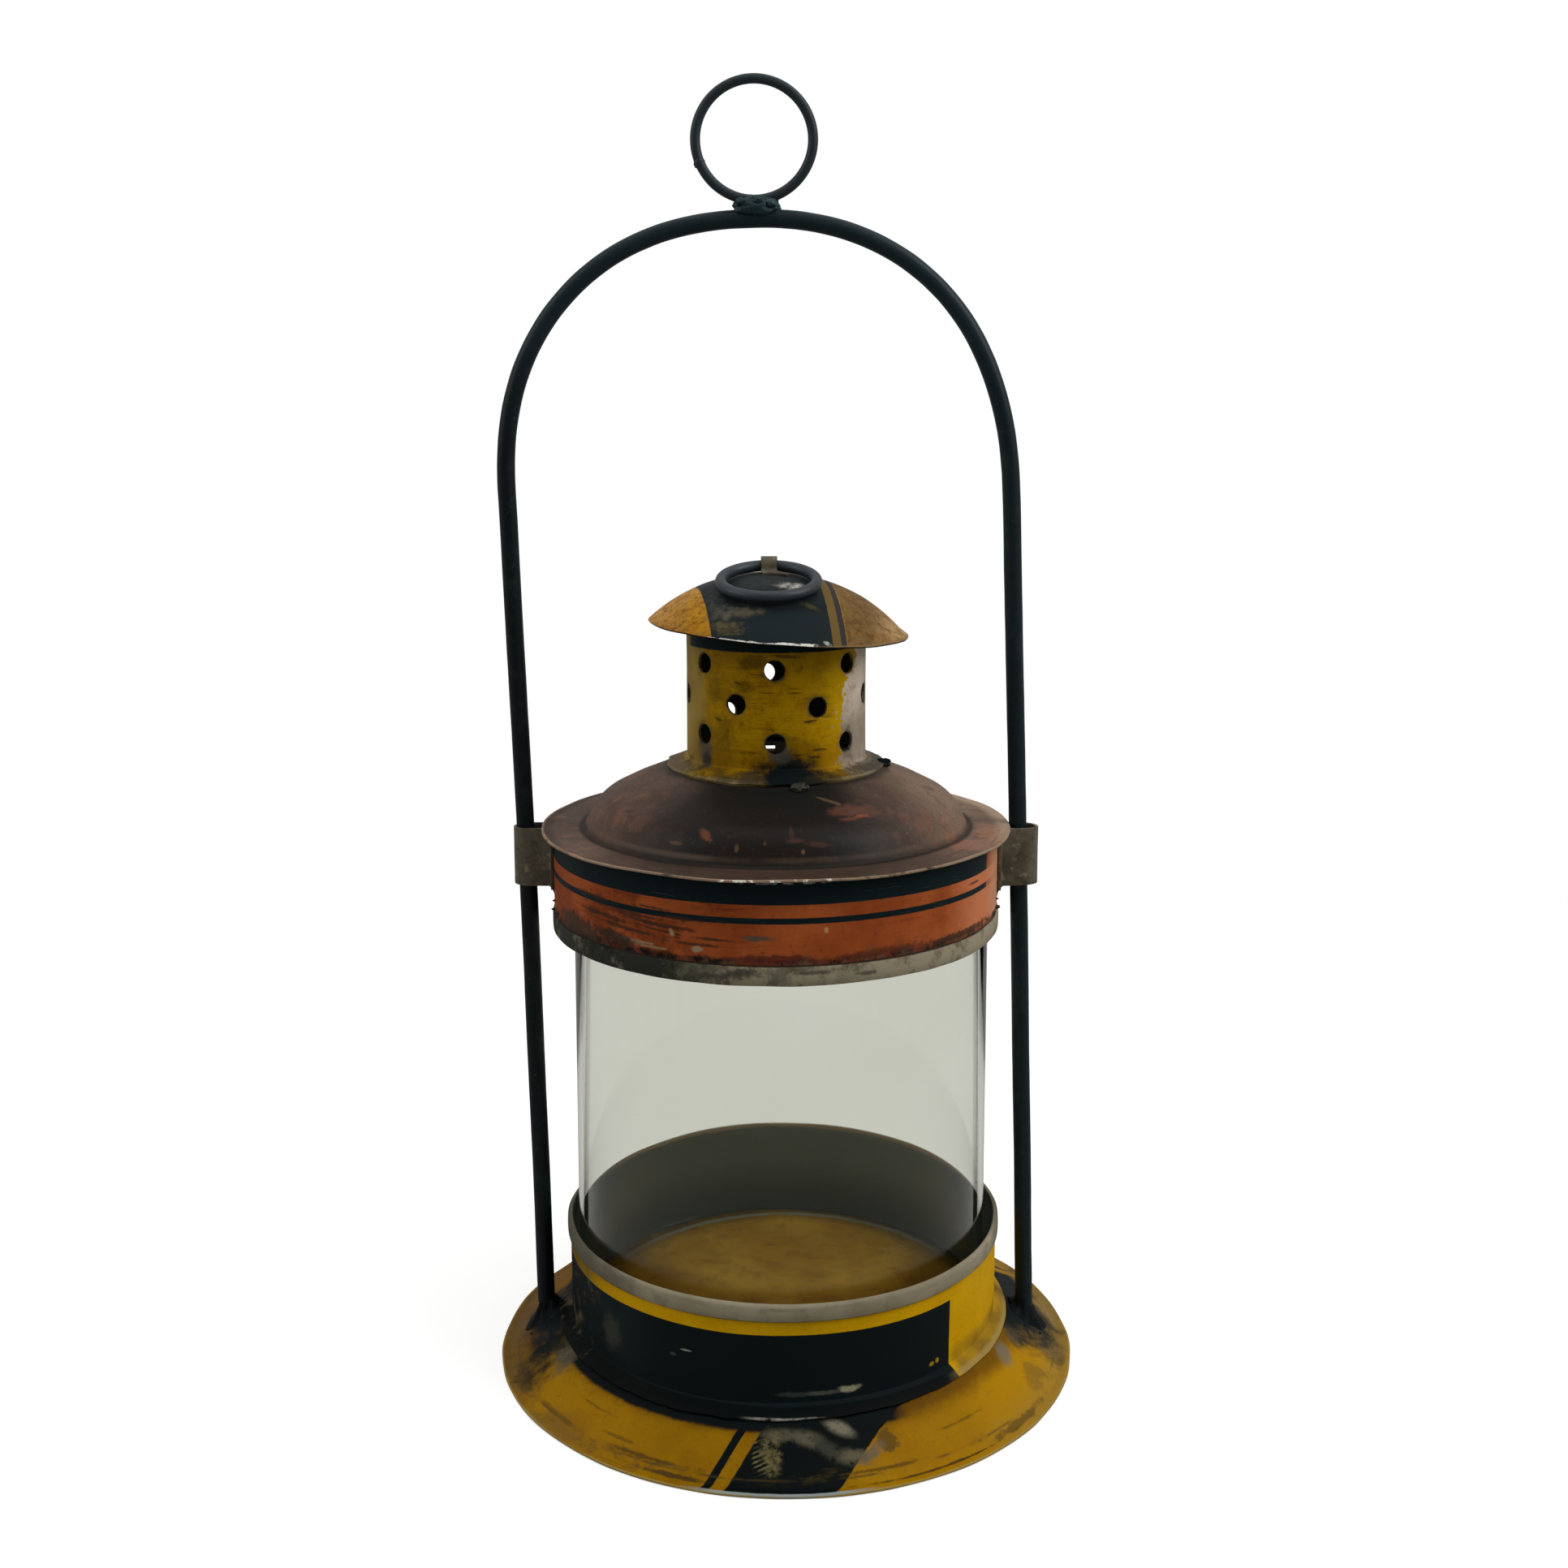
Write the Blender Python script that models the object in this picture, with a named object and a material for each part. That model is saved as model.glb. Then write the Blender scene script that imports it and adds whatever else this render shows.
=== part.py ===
"""Hand-made hanging lantern: tin base, glass tube, hood that slides up an iron bail, chimney and rings.

Metres, +Z up. The origin is the centre of the base's underside, on the surface that it stands on.
The front faces -Y. The bail's two legs stand to the left and right, at -X and +X.
"""
from math import asin, atan2, cos, hypot, pi, radians, sin, sqrt, tan

import bmesh
import bpy
from mathutils import Matrix, Vector

# Clearances
SEAT = 0.0003
SHEET = 0.0008

# Glass tube, loose in the collar, a little to the left of the middle
GLASS_RADIUS = 0.0635
GLASS_WALL = 0.0030
GLASS_HEIGHT = 0.1510
GLASS_EDGE = 0.0006
GLASS_SHIFT = -0.0016

# Base: a pressed plate with a sloping brim, and the collar that holds the glass
COLLAR_PLAY = 0.0023
COLLAR_HEIGHT = 0.0291
COLLAR_HEM_HEIGHT = 0.0050
COLLAR_HEM_FOLD = 0.0009
COLLAR_FLANGE = 0.0040
COLLAR_BEND = 0.0020
FLOOR_MARGIN = 0.0002
FLOOR_RISE = 0.0152
BRIM_WIDTH = 0.0232
BRIM_LIP = 0.0032
BRIM_BEND = 0.0024

# Hood: a band round the glass, under a pressed dome with a flat brim
BAND_PLAY = 0.0035
BAND_HEIGHT = 0.0295
BAND_HEM_HEIGHT = 0.0055
BAND_HEM_FOLD = 0.0005
HOOD_OVERHANG = 0.0038
HOOD_BRIM_WIDTH = 0.0130
HOOD_SIDE_PLAY = 0.0008
STEP_RUN = 0.0040
STEP_RISE = 0.0084
STEP_BEND = 0.0060
STEP_FOOT_BEND = 0.0024
KNEE_RUN = 0.0106
KNEE_RISE = 0.0054
CROWN_RISE = 0.0072
HOOD_TRAVEL = 0.0935

# Chimney: a perforated tube with a flared foot
CHIMNEY_RADIUS = 0.0272
CHIMNEY_HEIGHT = 0.0476
CHIMNEY_FLANGE = 0.0055
CHIMNEY_BEND = 0.0014
FLUE_MARGIN = 0.0004
VENT_DIAMETER = 0.0060
VENT_ROWS = 3
VENTS_PER_ROW = 7
VENT_PITCH = 0.0106
VENT_FIRST = 0.0094

# Cap: a bowed round plate, a little askew, with a strap and a ring on it
CAP_RADIUS = 0.0396
CAP_DROP = 0.0161
CAP_TILT = radians(4.0)
CAP_SHIFT = 0.0019
CAP_RING_RADIUS = 0.0140
CAP_RING_WIRE = 0.0034
STRAP_WIDTH = 0.0048
STRAP_PLAY = 0.0004
STRAP_FOOT = 0.0045

# Bail: a bent rod that leans a little to the left, with a ring on top
ROD_DIAMETER = 0.0055
ROD_CLEARANCE = 0.00045
BAIL_LEAN = radians(2.0)
BAIL_FOOT_SHIFT = 0.0019
ARCH_CLEARANCE = 0.0033
ARCH_RISE = 0.0800
ARCH_FULLNESS = 2.23
RING_RADIUS = 0.01735
RING_WIRE = 0.0029
RING_STAND_OFF = 0.0011
RING_SHIFT = 0.0024

# Clips on the hood, round the bail's legs
CLIP_HEIGHT = 0.0179
CLIP_SHEET = 0.0010
CLIP_FOOT = 0.0060
CLIP_END_PLAY = 0.0004
CLIP_SIDE_PLAY = 0.0008

# Weld and solder metal
FOOT_WELD_WIDTH = 0.0036
FOOT_WELD_HEIGHT = 0.0036
FOOT_WELD_HOLLOW = 1.6
RING_WELD_LENGTH = 0.0134
RING_WELD_DEPTH = 0.0086
RING_WELD_HEIGHT = 0.0074
CLIP_SOLDER_DEPTH = 0.0052
CLIP_SOLDER_REACH = 0.0036
CLIP_SOLDER_WIDTH = 0.0060
CHIMNEY_SOLDER_RADIUS = 0.0022
CHIMNEY_SOLDER_HEIGHT = 0.0015
CHIMNEY_SOLDER_FRONT = radians(-79)
CHIMNEY_SOLDER_SIDE = radians(-4)
WELD_EDGE = 0.0004

# Facets
TURN_STEPS = 48
CAP_STEPS = 40
CAP_RINGS = 9
RING_STEPS = 32
LUMP_STEPS = 16
VENT_SIDES = 12
WIRE_SIDES = 10
BEND_STEPS = 3
ARCH_STEPS = 32
SHARP_ANGLE = radians(35)
MERGE_DISTANCE = 1e-6
BEND_SHARE = 0.45

# Sizes that follow from those above: radii
ROD_RADIUS = ROD_DIAMETER / 2
COLLAR_RADIUS = GLASS_RADIUS + COLLAR_PLAY + SHEET
FLOOR_RADIUS = COLLAR_RADIUS + FLOOR_MARGIN
BASE_RADIUS = FLOOR_RADIUS + BRIM_WIDTH
BAND_RADIUS = GLASS_RADIUS + BAND_PLAY + SHEET
HOOD_RADIUS = BAND_RADIUS + HOOD_OVERHANG
STEP_FOOT_RADIUS = HOOD_RADIUS - HOOD_BRIM_WIDTH
STEP_RADIUS = STEP_FOOT_RADIUS - STEP_RUN
KNEE_RADIUS = STEP_RADIUS - KNEE_RUN
FLUE_RADIUS = CHIMNEY_RADIUS - SHEET - FLUE_MARGIN
ROD_OFFSET = HOOD_RADIUS + HOOD_SIDE_PLAY + ROD_CLEARANCE + ROD_RADIUS
CAP_BOW = (CAP_RADIUS * CAP_RADIUS + CAP_DROP * CAP_DROP) / (2 * CAP_DROP)
CAP_CENTRE_X = CAP_SHIFT - CAP_BOW * sin(CAP_TILT)
STRAP_BEND = CAP_RING_WIRE / 2 + STRAP_PLAY + SHEET / 2

# Sizes that follow from those above: heights
GLASS_BOTTOM = FLOOR_RISE + SEAT
GLASS_TOP = GLASS_BOTTOM + GLASS_HEIGHT
HOOD_UNDERSIDE = GLASS_TOP + SEAT
HOOD_BRIM_TOP = HOOD_UNDERSIDE + SHEET
BAND_TOP = HOOD_UNDERSIDE - SEAT
BAND_BOTTOM = BAND_TOP - BAND_HEIGHT
STEP_TOP = HOOD_BRIM_TOP + STEP_RISE
KNEE_TOP = STEP_TOP + KNEE_RISE
CROWN_TOP = KNEE_TOP + CROWN_RISE
CHIMNEY_TOP = CROWN_TOP + CHIMNEY_HEIGHT
CLIP_TOP = BAND_TOP
CLIP_BOTTOM = CLIP_TOP - CLIP_HEIGHT


def bail_middle(height):
    """X of the line midway between the leaning legs."""
    return BAIL_FOOT_SHIFT - tan(BAIL_LEAN) * height


HOOD_X = bail_middle(HOOD_BRIM_TOP) + HOOD_SIDE_PLAY


# Surfaces that other pieces sit on
def brim_height(radius):
    """Top of the base plate at a distance from its axis."""
    foot = BASE_RADIUS - BRIM_LIP
    share = (radius - FLOOR_RADIUS) / (foot - FLOOR_RADIUS)
    return FLOOR_RISE + (SHEET - FLOOR_RISE) * min(max(share, 0.0), 1.0)


def dome_height(radius):
    """Top of the dome's upper cone at a distance from its axis."""
    share = (radius - FLUE_RADIUS) / (KNEE_RADIUS - FLUE_RADIUS)
    return CROWN_TOP + (KNEE_TOP - CROWN_TOP) * share


def cap_rise(x, y, bow):
    """Height above the middle of the cap's bow, on a bow of that radius, at a place off the hood's axis."""
    return sqrt(bow * bow - (x - CAP_CENTRE_X) ** 2 - y * y)


CAP_CENTRE_Z = CHIMNEY_TOP - cap_rise(0.0, CHIMNEY_RADIUS, CAP_BOW - SHEET - SEAT)
CAP_RING_BOW = CAP_BOW + SEAT + CAP_RING_WIRE / 2
CAP_RING_REST = asin(CAP_RING_RADIUS / CAP_RING_BOW)
LOOP_HEIGHT = CAP_CENTRE_Z + CAP_RING_BOW
STRAP_TOP = LOOP_HEIGHT + STRAP_BEND + SHEET / 2
ARCH_TOP = STRAP_TOP + HOOD_TRAVEL + ARCH_CLEARANCE + ROD_DIAMETER
ARCH_SPRING = ARCH_TOP - ROD_RADIUS - ARCH_RISE
RING_CENTRE = ARCH_TOP + RING_STAND_OFF + RING_WIRE / 2 + RING_RADIUS


# Outlines
def bent(path, bends):
    """The path with each inner corner rounded, as far as its two sides allow."""
    rounded = [Vector(path[0])]
    for index, radius in enumerate(bends, start=1):
        corner = Vector(path[index])
        back = Vector(path[index - 1]) - corner
        ahead = Vector(path[index + 1]) - corner
        half = back.angle(ahead) / 2
        reach = min(radius / tan(half), BEND_SHARE * back.length, BEND_SHARE * ahead.length)
        start = corner + back.normalized() * reach
        end = corner + ahead.normalized() * reach
        middle = corner + (back.normalized() + ahead.normalized()).normalized() * reach / cos(half)
        radius = reach * tan(half)
        for step in range(BEND_STEPS + 1):
            chord = start.lerp(end, step / BEND_STEPS) - middle
            rounded.append(middle + chord.normalized() * radius)
    rounded.append(Vector(path[-1]))
    return rounded


def beside(path, distance):
    """The path moved sideways, to the right of its direction, keeping its corners."""
    moved = []
    for index, point in enumerate(path):
        before = path[max(index - 1, 0)]
        after = path[min(index + 1, len(path) - 1)]
        first = (point - before).normalized() if index else (after - point).normalized()
        last = (after - point).normalized() if index < len(path) - 1 else first
        side_first = Vector((first.y, -first.x))
        side_last = Vector((last.y, -last.x))
        mitre = (side_first + side_last).normalized()
        moved.append(point + mitre * distance / mitre.dot(side_first))
    return moved


def sheet_outline(path, thickness):
    """Closed outline of a sheet whose one face follows the path and whose other lies to its right."""
    return list(path) + beside(path, thickness)[::-1]


# Making objects
def finish(name, color, roughness, metallic):
    made = bpy.data.materials.new(name)
    made.use_nodes = True
    shader = made.node_tree.nodes["Principled BSDF"]
    shader.inputs["Base Color"].default_value = (*color, 1.0)
    shader.inputs["Roughness"].default_value = roughness
    shader.inputs["Metallic"].default_value = metallic
    return made


def place(name, mesh, look, parent=None, at=(0.0, 0.0, 0.0), turn=(0.0, 0.0, 0.0)):
    """A named object with its own material, smooth except at its edges."""
    mesh.materials.append(finish(name, *look))
    mesh.shade_smooth()
    mesh.set_sharp_from_angle(angle=SHARP_ANGLE)
    made = bpy.data.objects.new(name, mesh)
    made.parent = parent
    made.location = at
    made.rotation_euler = turn
    bpy.context.collection.objects.link(made)
    return made


def frame(name, at, turn=(0.0, 0.0, 0.0)):
    """An empty that carries the pieces of one assembly."""
    made = bpy.data.objects.new(name, None)
    made.location = at
    made.rotation_euler = turn
    bpy.context.collection.objects.link(made)
    return made


def mesh_of(bm, name):
    bmesh.ops.remove_doubles(bm, verts=bm.verts, dist=MERGE_DISTANCE)
    bmesh.ops.recalc_face_normals(bm, faces=bm.faces)
    mesh = bpy.data.meshes.new(name)
    bm.to_mesh(mesh)
    bm.free()
    return mesh


def turned_bmesh(outline, steps, closed=True):
    """The outline, given as radius and height, turned about Z."""
    bm = bmesh.new()
    verts = [bm.verts.new((point[0], 0.0, point[1])) for point in outline]
    edges = [bm.edges.new(pair) for pair in zip(verts, verts[1:])]
    if closed:
        edges.append(bm.edges.new((verts[-1], verts[0])))
    bmesh.ops.spin(bm, geom=verts + edges, cent=(0, 0, 0), axis=(0, 0, 1), angle=2 * pi, steps=steps,
                   use_merge=True, use_duplicate=False)
    bmesh.ops.remove_doubles(bm, verts=bm.verts, dist=MERGE_DISTANCE)
    return bm


def round_outline(radius, centre, sides):
    """A circle as radius and height, round a wire's middle."""
    angles = [2 * pi * side / sides for side in range(sides)]
    return [(centre + radius * cos(angle), radius * sin(angle)) for angle in angles]


def strip_bmesh(path, thickness, axis, low, high):
    """A strip whose outline is swept from low to high along an axis, on both sides of its path."""
    bm = bmesh.new()
    path = [Vector(point) for point in path]
    outline = beside(path, -thickness / 2) + beside(path, thickness / 2)[::-1]
    if axis == "Z":
        corners = [(point.x, point.y, low) for point in outline]
        sweep = Vector((0.0, 0.0, high - low))
    else:
        corners = [(low, point.x, point.y) for point in outline]
        sweep = Vector((high - low, 0.0, 0.0))
    face = bm.faces.new([bm.verts.new(corner) for corner in corners])
    raised = bmesh.ops.extrude_face_region(bm, geom=[face], use_keep_orig=True)["geom"]
    bmesh.ops.translate(bm, vec=sweep, verts=[item for item in raised if isinstance(item, bmesh.types.BMVert)])
    return bm


def wire_object(name, path, radius, look, parent):
    """A round rod along a path, with flat ends."""
    curve = bpy.data.curves.new(name, "CURVE")
    curve.dimensions = "3D"
    curve.bevel_depth = radius
    curve.bevel_resolution = (WIRE_SIDES - 4) // 2
    curve.use_fill_caps = True
    spline = curve.splines.new("POLY")
    spline.points.add(len(path) - 1)
    for point, place_at in zip(spline.points, path):
        point.co = (*place_at, 1.0)
    curve.materials.append(finish(name, *look))
    made = bpy.data.objects.new(name, curve)
    made.parent = parent
    bpy.context.collection.objects.link(made)
    return made


def cut_by(piece, cutter):
    """Cuts a hidden solid out of a piece."""
    cutter.hide_render = True
    cutter.display_type = "WIRE"
    cut = piece.modifiers.new(cutter.name, "BOOLEAN")
    cut.operation = "DIFFERENCE"
    cut.solver = "EXACT"
    cut.object = cutter


# Finishes: colour, roughness, metallic
YELLOW_TIN = ((0.36, 0.22, 0.01), 0.45, 0.0)
NAVY_TIN = ((0.012, 0.020, 0.026), 0.45, 0.0)
ORANGE_TIN = ((0.33, 0.08, 0.02), 0.5, 0.0)
RUSTED_TIN = ((0.085, 0.055, 0.042), 0.6, 0.4)
BARE_TIN = ((0.16, 0.14, 0.12), 0.5, 0.7)
BLACK_IRON = ((0.008, 0.011, 0.013), 0.5, 0.3)
WELD_IRON = ((0.02, 0.02, 0.02), 0.6, 0.6)
CLEAR_GLASS = ((0.85, 0.87, 0.84), 0.05, 0.0)


# Base
def make_base_plate():
    foot = BASE_RADIUS - BRIM_LIP
    corners = [(0.0, FLOOR_RISE), (FLOOR_RADIUS, FLOOR_RISE), (foot, SHEET), (BASE_RADIUS, SHEET)]
    top = bent(corners, (BRIM_BEND, BRIM_BEND))
    bm = turned_bmesh(sheet_outline(top, SHEET), TURN_STEPS, closed=False)
    place("base_plate", mesh_of(bm, "base_plate"), YELLOW_TIN)


def brim_slope():
    """Direction down the brim and its upward normal, as radius and height."""
    run = BASE_RADIUS - BRIM_LIP - FLOOR_RADIUS
    down = Vector((run, SHEET - FLOOR_RISE)).normalized()
    return down, Vector((-down.y, down.x))


def collar_foot_end():
    """Edge of the collar's flared foot, on its underside."""
    down, out = brim_slope()
    return Vector((FLOOR_RADIUS, FLOOR_RISE)) + down * COLLAR_FLANGE + out * SEAT


def make_base_collar():
    top = FLOOR_RISE + COLLAR_HEIGHT
    down = brim_slope()[0]
    end = collar_foot_end()
    inner = COLLAR_RADIUS - SHEET
    corner = Vector((inner, end.y + (end.x - inner) * -down.y / down.x))
    inside = bent([(inner, top), corner, end], (COLLAR_BEND,))
    outside = beside(inside, -SHEET)
    hem_radius = COLLAR_RADIUS + COLLAR_HEM_FOLD
    hem_bottom = top - COLLAR_HEM_HEIGHT
    hem = [(hem_radius, top), (hem_radius, hem_bottom + COLLAR_HEM_FOLD / 2), (COLLAR_RADIUS, hem_bottom)]
    outline = inside + outside[:0:-1] + [Vector(point) for point in hem[::-1]]
    bm = turned_bmesh(outline, TURN_STEPS)
    place("base_collar", mesh_of(bm, "base_collar"), NAVY_TIN)


# Glass
def make_glass():
    inner = GLASS_RADIUS - GLASS_WALL
    outline = [
        (inner, GLASS_BOTTOM + GLASS_EDGE), (inner + GLASS_EDGE, GLASS_BOTTOM),
        (GLASS_RADIUS - GLASS_EDGE, GLASS_BOTTOM), (GLASS_RADIUS, GLASS_BOTTOM + GLASS_EDGE),
        (GLASS_RADIUS, GLASS_TOP - GLASS_EDGE), (GLASS_RADIUS - GLASS_EDGE, GLASS_TOP),
        (inner + GLASS_EDGE, GLASS_TOP), (inner, GLASS_TOP - GLASS_EDGE),
    ]
    bm = turned_bmesh(outline, TURN_STEPS)
    place("glass_cylinder", mesh_of(bm, "glass_cylinder"), CLEAR_GLASS, at=(GLASS_SHIFT, 0.0, 0.0))


# Hood
def make_hood_band(hood):
    inner = BAND_RADIUS - SHEET
    hem_radius = BAND_RADIUS + BAND_HEM_FOLD
    hem_top = BAND_BOTTOM + BAND_HEM_HEIGHT
    outline = [
        (inner, BAND_TOP), (inner, BAND_BOTTOM), (hem_radius - BAND_HEM_FOLD, BAND_BOTTOM),
        (hem_radius, BAND_BOTTOM + BAND_HEM_FOLD), (hem_radius, hem_top - BAND_HEM_FOLD),
        (BAND_RADIUS, hem_top), (BAND_RADIUS, BAND_TOP),
    ]
    bm = turned_bmesh(outline, TURN_STEPS)
    place("hood_band", mesh_of(bm, "hood_band"), ORANGE_TIN, parent=hood)


def make_hood_dome(hood):
    corners = [
        (FLUE_RADIUS, CROWN_TOP), (KNEE_RADIUS, KNEE_TOP), (STEP_RADIUS, STEP_TOP),
        (STEP_FOOT_RADIUS, HOOD_BRIM_TOP), (HOOD_RADIUS, HOOD_BRIM_TOP),
    ]
    top = bent(corners, (STEP_BEND, STEP_BEND, STEP_FOOT_BEND))
    bm = turned_bmesh(sheet_outline(top, SHEET), TURN_STEPS)
    place("hood_dome", mesh_of(bm, "hood_dome"), RUSTED_TIN, parent=hood)


def chimney_foot_end():
    """Edge of the chimney's flared foot, on its underside."""
    radius = CHIMNEY_RADIUS + CHIMNEY_FLANGE
    slope = atan2(CROWN_TOP - KNEE_TOP, KNEE_RADIUS - FLUE_RADIUS)
    return Vector((radius, dome_height(radius) + SEAT / cos(slope))), slope


def make_chimney(hood):
    end, slope = chimney_foot_end()
    inner = CHIMNEY_RADIUS - SHEET
    corner = Vector((inner, end.y + (end.x - inner) * tan(slope)))
    inside = bent([(inner, CHIMNEY_TOP), corner, end], (CHIMNEY_BEND,))
    bm = turned_bmesh(sheet_outline(inside, -SHEET), TURN_STEPS)
    for vert in bm.verts:
        if vert.co.z > CHIMNEY_TOP - SHEET:
            vert.co.z = CAP_CENTRE_Z + cap_rise(vert.co.x, vert.co.y, CAP_BOW - SHEET - SEAT)
    tube = place("chimney_tube", mesh_of(bm, "chimney_tube"), YELLOW_TIN, parent=hood)

    cutters = bmesh.new()
    for row in range(VENT_ROWS):
        for vent in range(VENTS_PER_ROW):
            around = 2 * pi * (vent + 0.5 * (row % 2)) / VENTS_PER_ROW - pi / 2
            height = CROWN_TOP + VENT_FIRST + row * VENT_PITCH
            outward = Matrix.Rotation(around, 4, "Z") @ Matrix.Translation((CHIMNEY_RADIUS, 0.0, height))
            lay = outward @ Matrix.Rotation(pi / 2, 4, "Y")
            bmesh.ops.create_cone(cutters, cap_ends=True, segments=VENT_SIDES, radius1=VENT_DIAMETER / 2,
                                  radius2=VENT_DIAMETER / 2, depth=CHIMNEY_RADIUS / 2, matrix=lay)
    cut_by(tube, place("vent_cutter", mesh_of(cutters, "vent_cutter"), YELLOW_TIN, parent=hood))


def make_chimney_solder(name, hood, around):
    """A low lump of solder on the dome, against the edge of the chimney's foot."""
    end = chimney_foot_end()[0]
    centre = end.x + SHEET + CHIMNEY_SOLDER_RADIUS
    place_at = Vector((centre * cos(around), centre * sin(around), 0.0))
    dome = [(0.0, 0.0), (CHIMNEY_SOLDER_RADIUS, 0.0), (CHIMNEY_SOLDER_RADIUS, WELD_EDGE)]
    for step in range(1, BEND_STEPS + 1):
        rise = pi / 2 * step / BEND_STEPS
        height = WELD_EDGE + (CHIMNEY_SOLDER_HEIGHT - WELD_EDGE) * sin(rise)
        dome.append((max(CHIMNEY_SOLDER_RADIUS * cos(rise), 0.0) if step < BEND_STEPS else 0.0, height))
    bm = turned_bmesh(dome, LUMP_STEPS, closed=False)
    for vert in bm.verts:
        vert.co += place_at
        vert.co.z += dome_height(hypot(vert.co.x, vert.co.y)) + SEAT
    place(name, mesh_of(bm, name), WELD_IRON, parent=hood)


# Cap, strap and ring
def make_cap(hood):
    slope = asin(CAP_RADIUS / CAP_BOW)
    turns = [slope * step / CAP_RINGS for step in range(CAP_RINGS + 1)]
    top = [(CAP_BOW * sin(turn), CAP_BOW * cos(turn)) for turn in turns]
    under = [((CAP_BOW - SHEET) * sin(turn), (CAP_BOW - SHEET) * cos(turn)) for turn in turns]
    bm = turned_bmesh(top + under[::-1], CAP_STEPS, closed=False)
    place("chimney_cap", mesh_of(bm, "chimney_cap"), YELLOW_TIN, parent=hood,
          at=(CAP_CENTRE_X, 0.0, CAP_CENTRE_Z), turn=(0.0, CAP_TILT, 0.0))


def make_cap_strap(hood):
    """A strip over the back of the cap's ring, with its two feet on the cap."""
    def foot(y):
        return y, CAP_CENTRE_Z + cap_rise(CAP_CENTRE_X, y, CAP_BOW + SEAT + SHEET / 2)

    path = [foot(-STRAP_BEND - STRAP_FOOT), foot(-STRAP_BEND)]
    arc_steps = 4 * BEND_STEPS
    for step in range(arc_steps + 1):
        around = pi - pi * step / arc_steps
        path.append((STRAP_BEND * cos(around), LOOP_HEIGHT + STRAP_BEND * sin(around)))
    path += [foot(STRAP_BEND), foot(STRAP_BEND + STRAP_FOOT)]
    bm = strip_bmesh(path, SHEET, "X", -STRAP_WIDTH / 2, STRAP_WIDTH / 2)
    place("cap_strap", mesh_of(bm, "cap_strap"), BARE_TIN, parent=hood, at=(CAP_CENTRE_X, 0.0, 0.0))


def make_cap_ring(hood):
    """The ring's origin is in the strap's loop, on the axis that it swings about; it lies on the cap's front."""
    bm = turned_bmesh(round_outline(CAP_RING_WIRE / 2, CAP_RING_RADIUS, WIRE_SIDES), RING_STEPS)
    bmesh.ops.translate(bm, vec=(0.0, -CAP_RING_RADIUS, 0.0), verts=bm.verts)
    place("cap_ring", mesh_of(bm, "cap_ring"), BLACK_IRON, parent=hood,
          at=(CAP_CENTRE_X, 0.0, LOOP_HEIGHT), turn=(CAP_RING_REST, 0.0, 0.0))


# Clips
def leg_reach():
    """Farthest that a leg's middle lies from the hood's axis within the clips' height."""
    half_span = ROD_OFFSET / cos(BAIL_LEAN)
    return half_span + max(abs(bail_middle(height) - HOOD_X) for height in (CLIP_BOTTOM, CLIP_TOP))


def make_clip(name, hood, side):
    """A hairpin strip round a leg, with its two feet lying along the band."""
    half = ROD_RADIUS + CLIP_SIDE_PLAY + CLIP_SHEET / 2
    seat = BAND_RADIUS + SEAT + CLIP_SHEET / 2
    end = leg_reach() + ROD_RADIUS + CLIP_END_PLAY + CLIP_SHEET / 2 - half
    knee = asin(half / seat)
    foot_angle = CLIP_FOOT / seat
    path = []
    for step in range(BEND_STEPS):
        around = knee + foot_angle * (1 - step / BEND_STEPS)
        path.append((seat * cos(around), seat * sin(around)))
    path.append((seat * cos(knee), half))
    arc_steps = 4 * BEND_STEPS
    for step in range(arc_steps + 1):
        around = pi / 2 - pi * step / arc_steps
        path.append((end + half * cos(around), half * sin(around)))
    path += [(x, -y) for x, y in path[BEND_STEPS::-1]]
    bm = strip_bmesh([(side * x, side * y) for x, y in path], CLIP_SHEET, "Z", CLIP_BOTTOM, CLIP_TOP)
    place(name, mesh_of(bm, name), BARE_TIN, parent=hood)


def make_clip_solder(name, hood, side):
    """A fillet of solder on the band, under a clip."""
    wall = BAND_RADIUS + SEAT
    top = CLIP_BOTTOM - SEAT
    outline = [(wall, top), (wall + CLIP_SOLDER_REACH, top)]
    arc_steps = 2 * BEND_STEPS
    for step in range(arc_steps + 1):
        around = pi / 2 * step / arc_steps
        outward = CLIP_SOLDER_REACH * (1 - sin(around)) + WELD_EDGE
        outline.append((wall + outward, top - WELD_EDGE - CLIP_SOLDER_DEPTH * (1 - cos(around))))
    outline.append((wall, outline[-1][1]))
    bm = bmesh.new()
    half = CLIP_SOLDER_WIDTH / 2
    face = bm.faces.new([bm.verts.new((side * x, -half, z)) for x, z in outline])
    raised = bmesh.ops.extrude_face_region(bm, geom=[face], use_keep_orig=True)["geom"]
    far_side = [item for item in raised if isinstance(item, bmesh.types.BMVert)]
    bmesh.ops.translate(bm, vec=(0.0, CLIP_SOLDER_WIDTH, 0.0), verts=far_side)
    place(name, mesh_of(bm, name), WELD_IRON, parent=hood)


# Bail and its ring
def leg_foot(side):
    """Where a leg's middle meets the brim, in the world: its X and the height of its end."""
    x = bail_middle(brim_height(ROD_OFFSET)) + side * ROD_OFFSET / cos(BAIL_LEAN)
    end = brim_height(abs(x) - ROD_RADIUS) + SEAT + ROD_RADIUS * sin(BAIL_LEAN)
    return x, end


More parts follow.
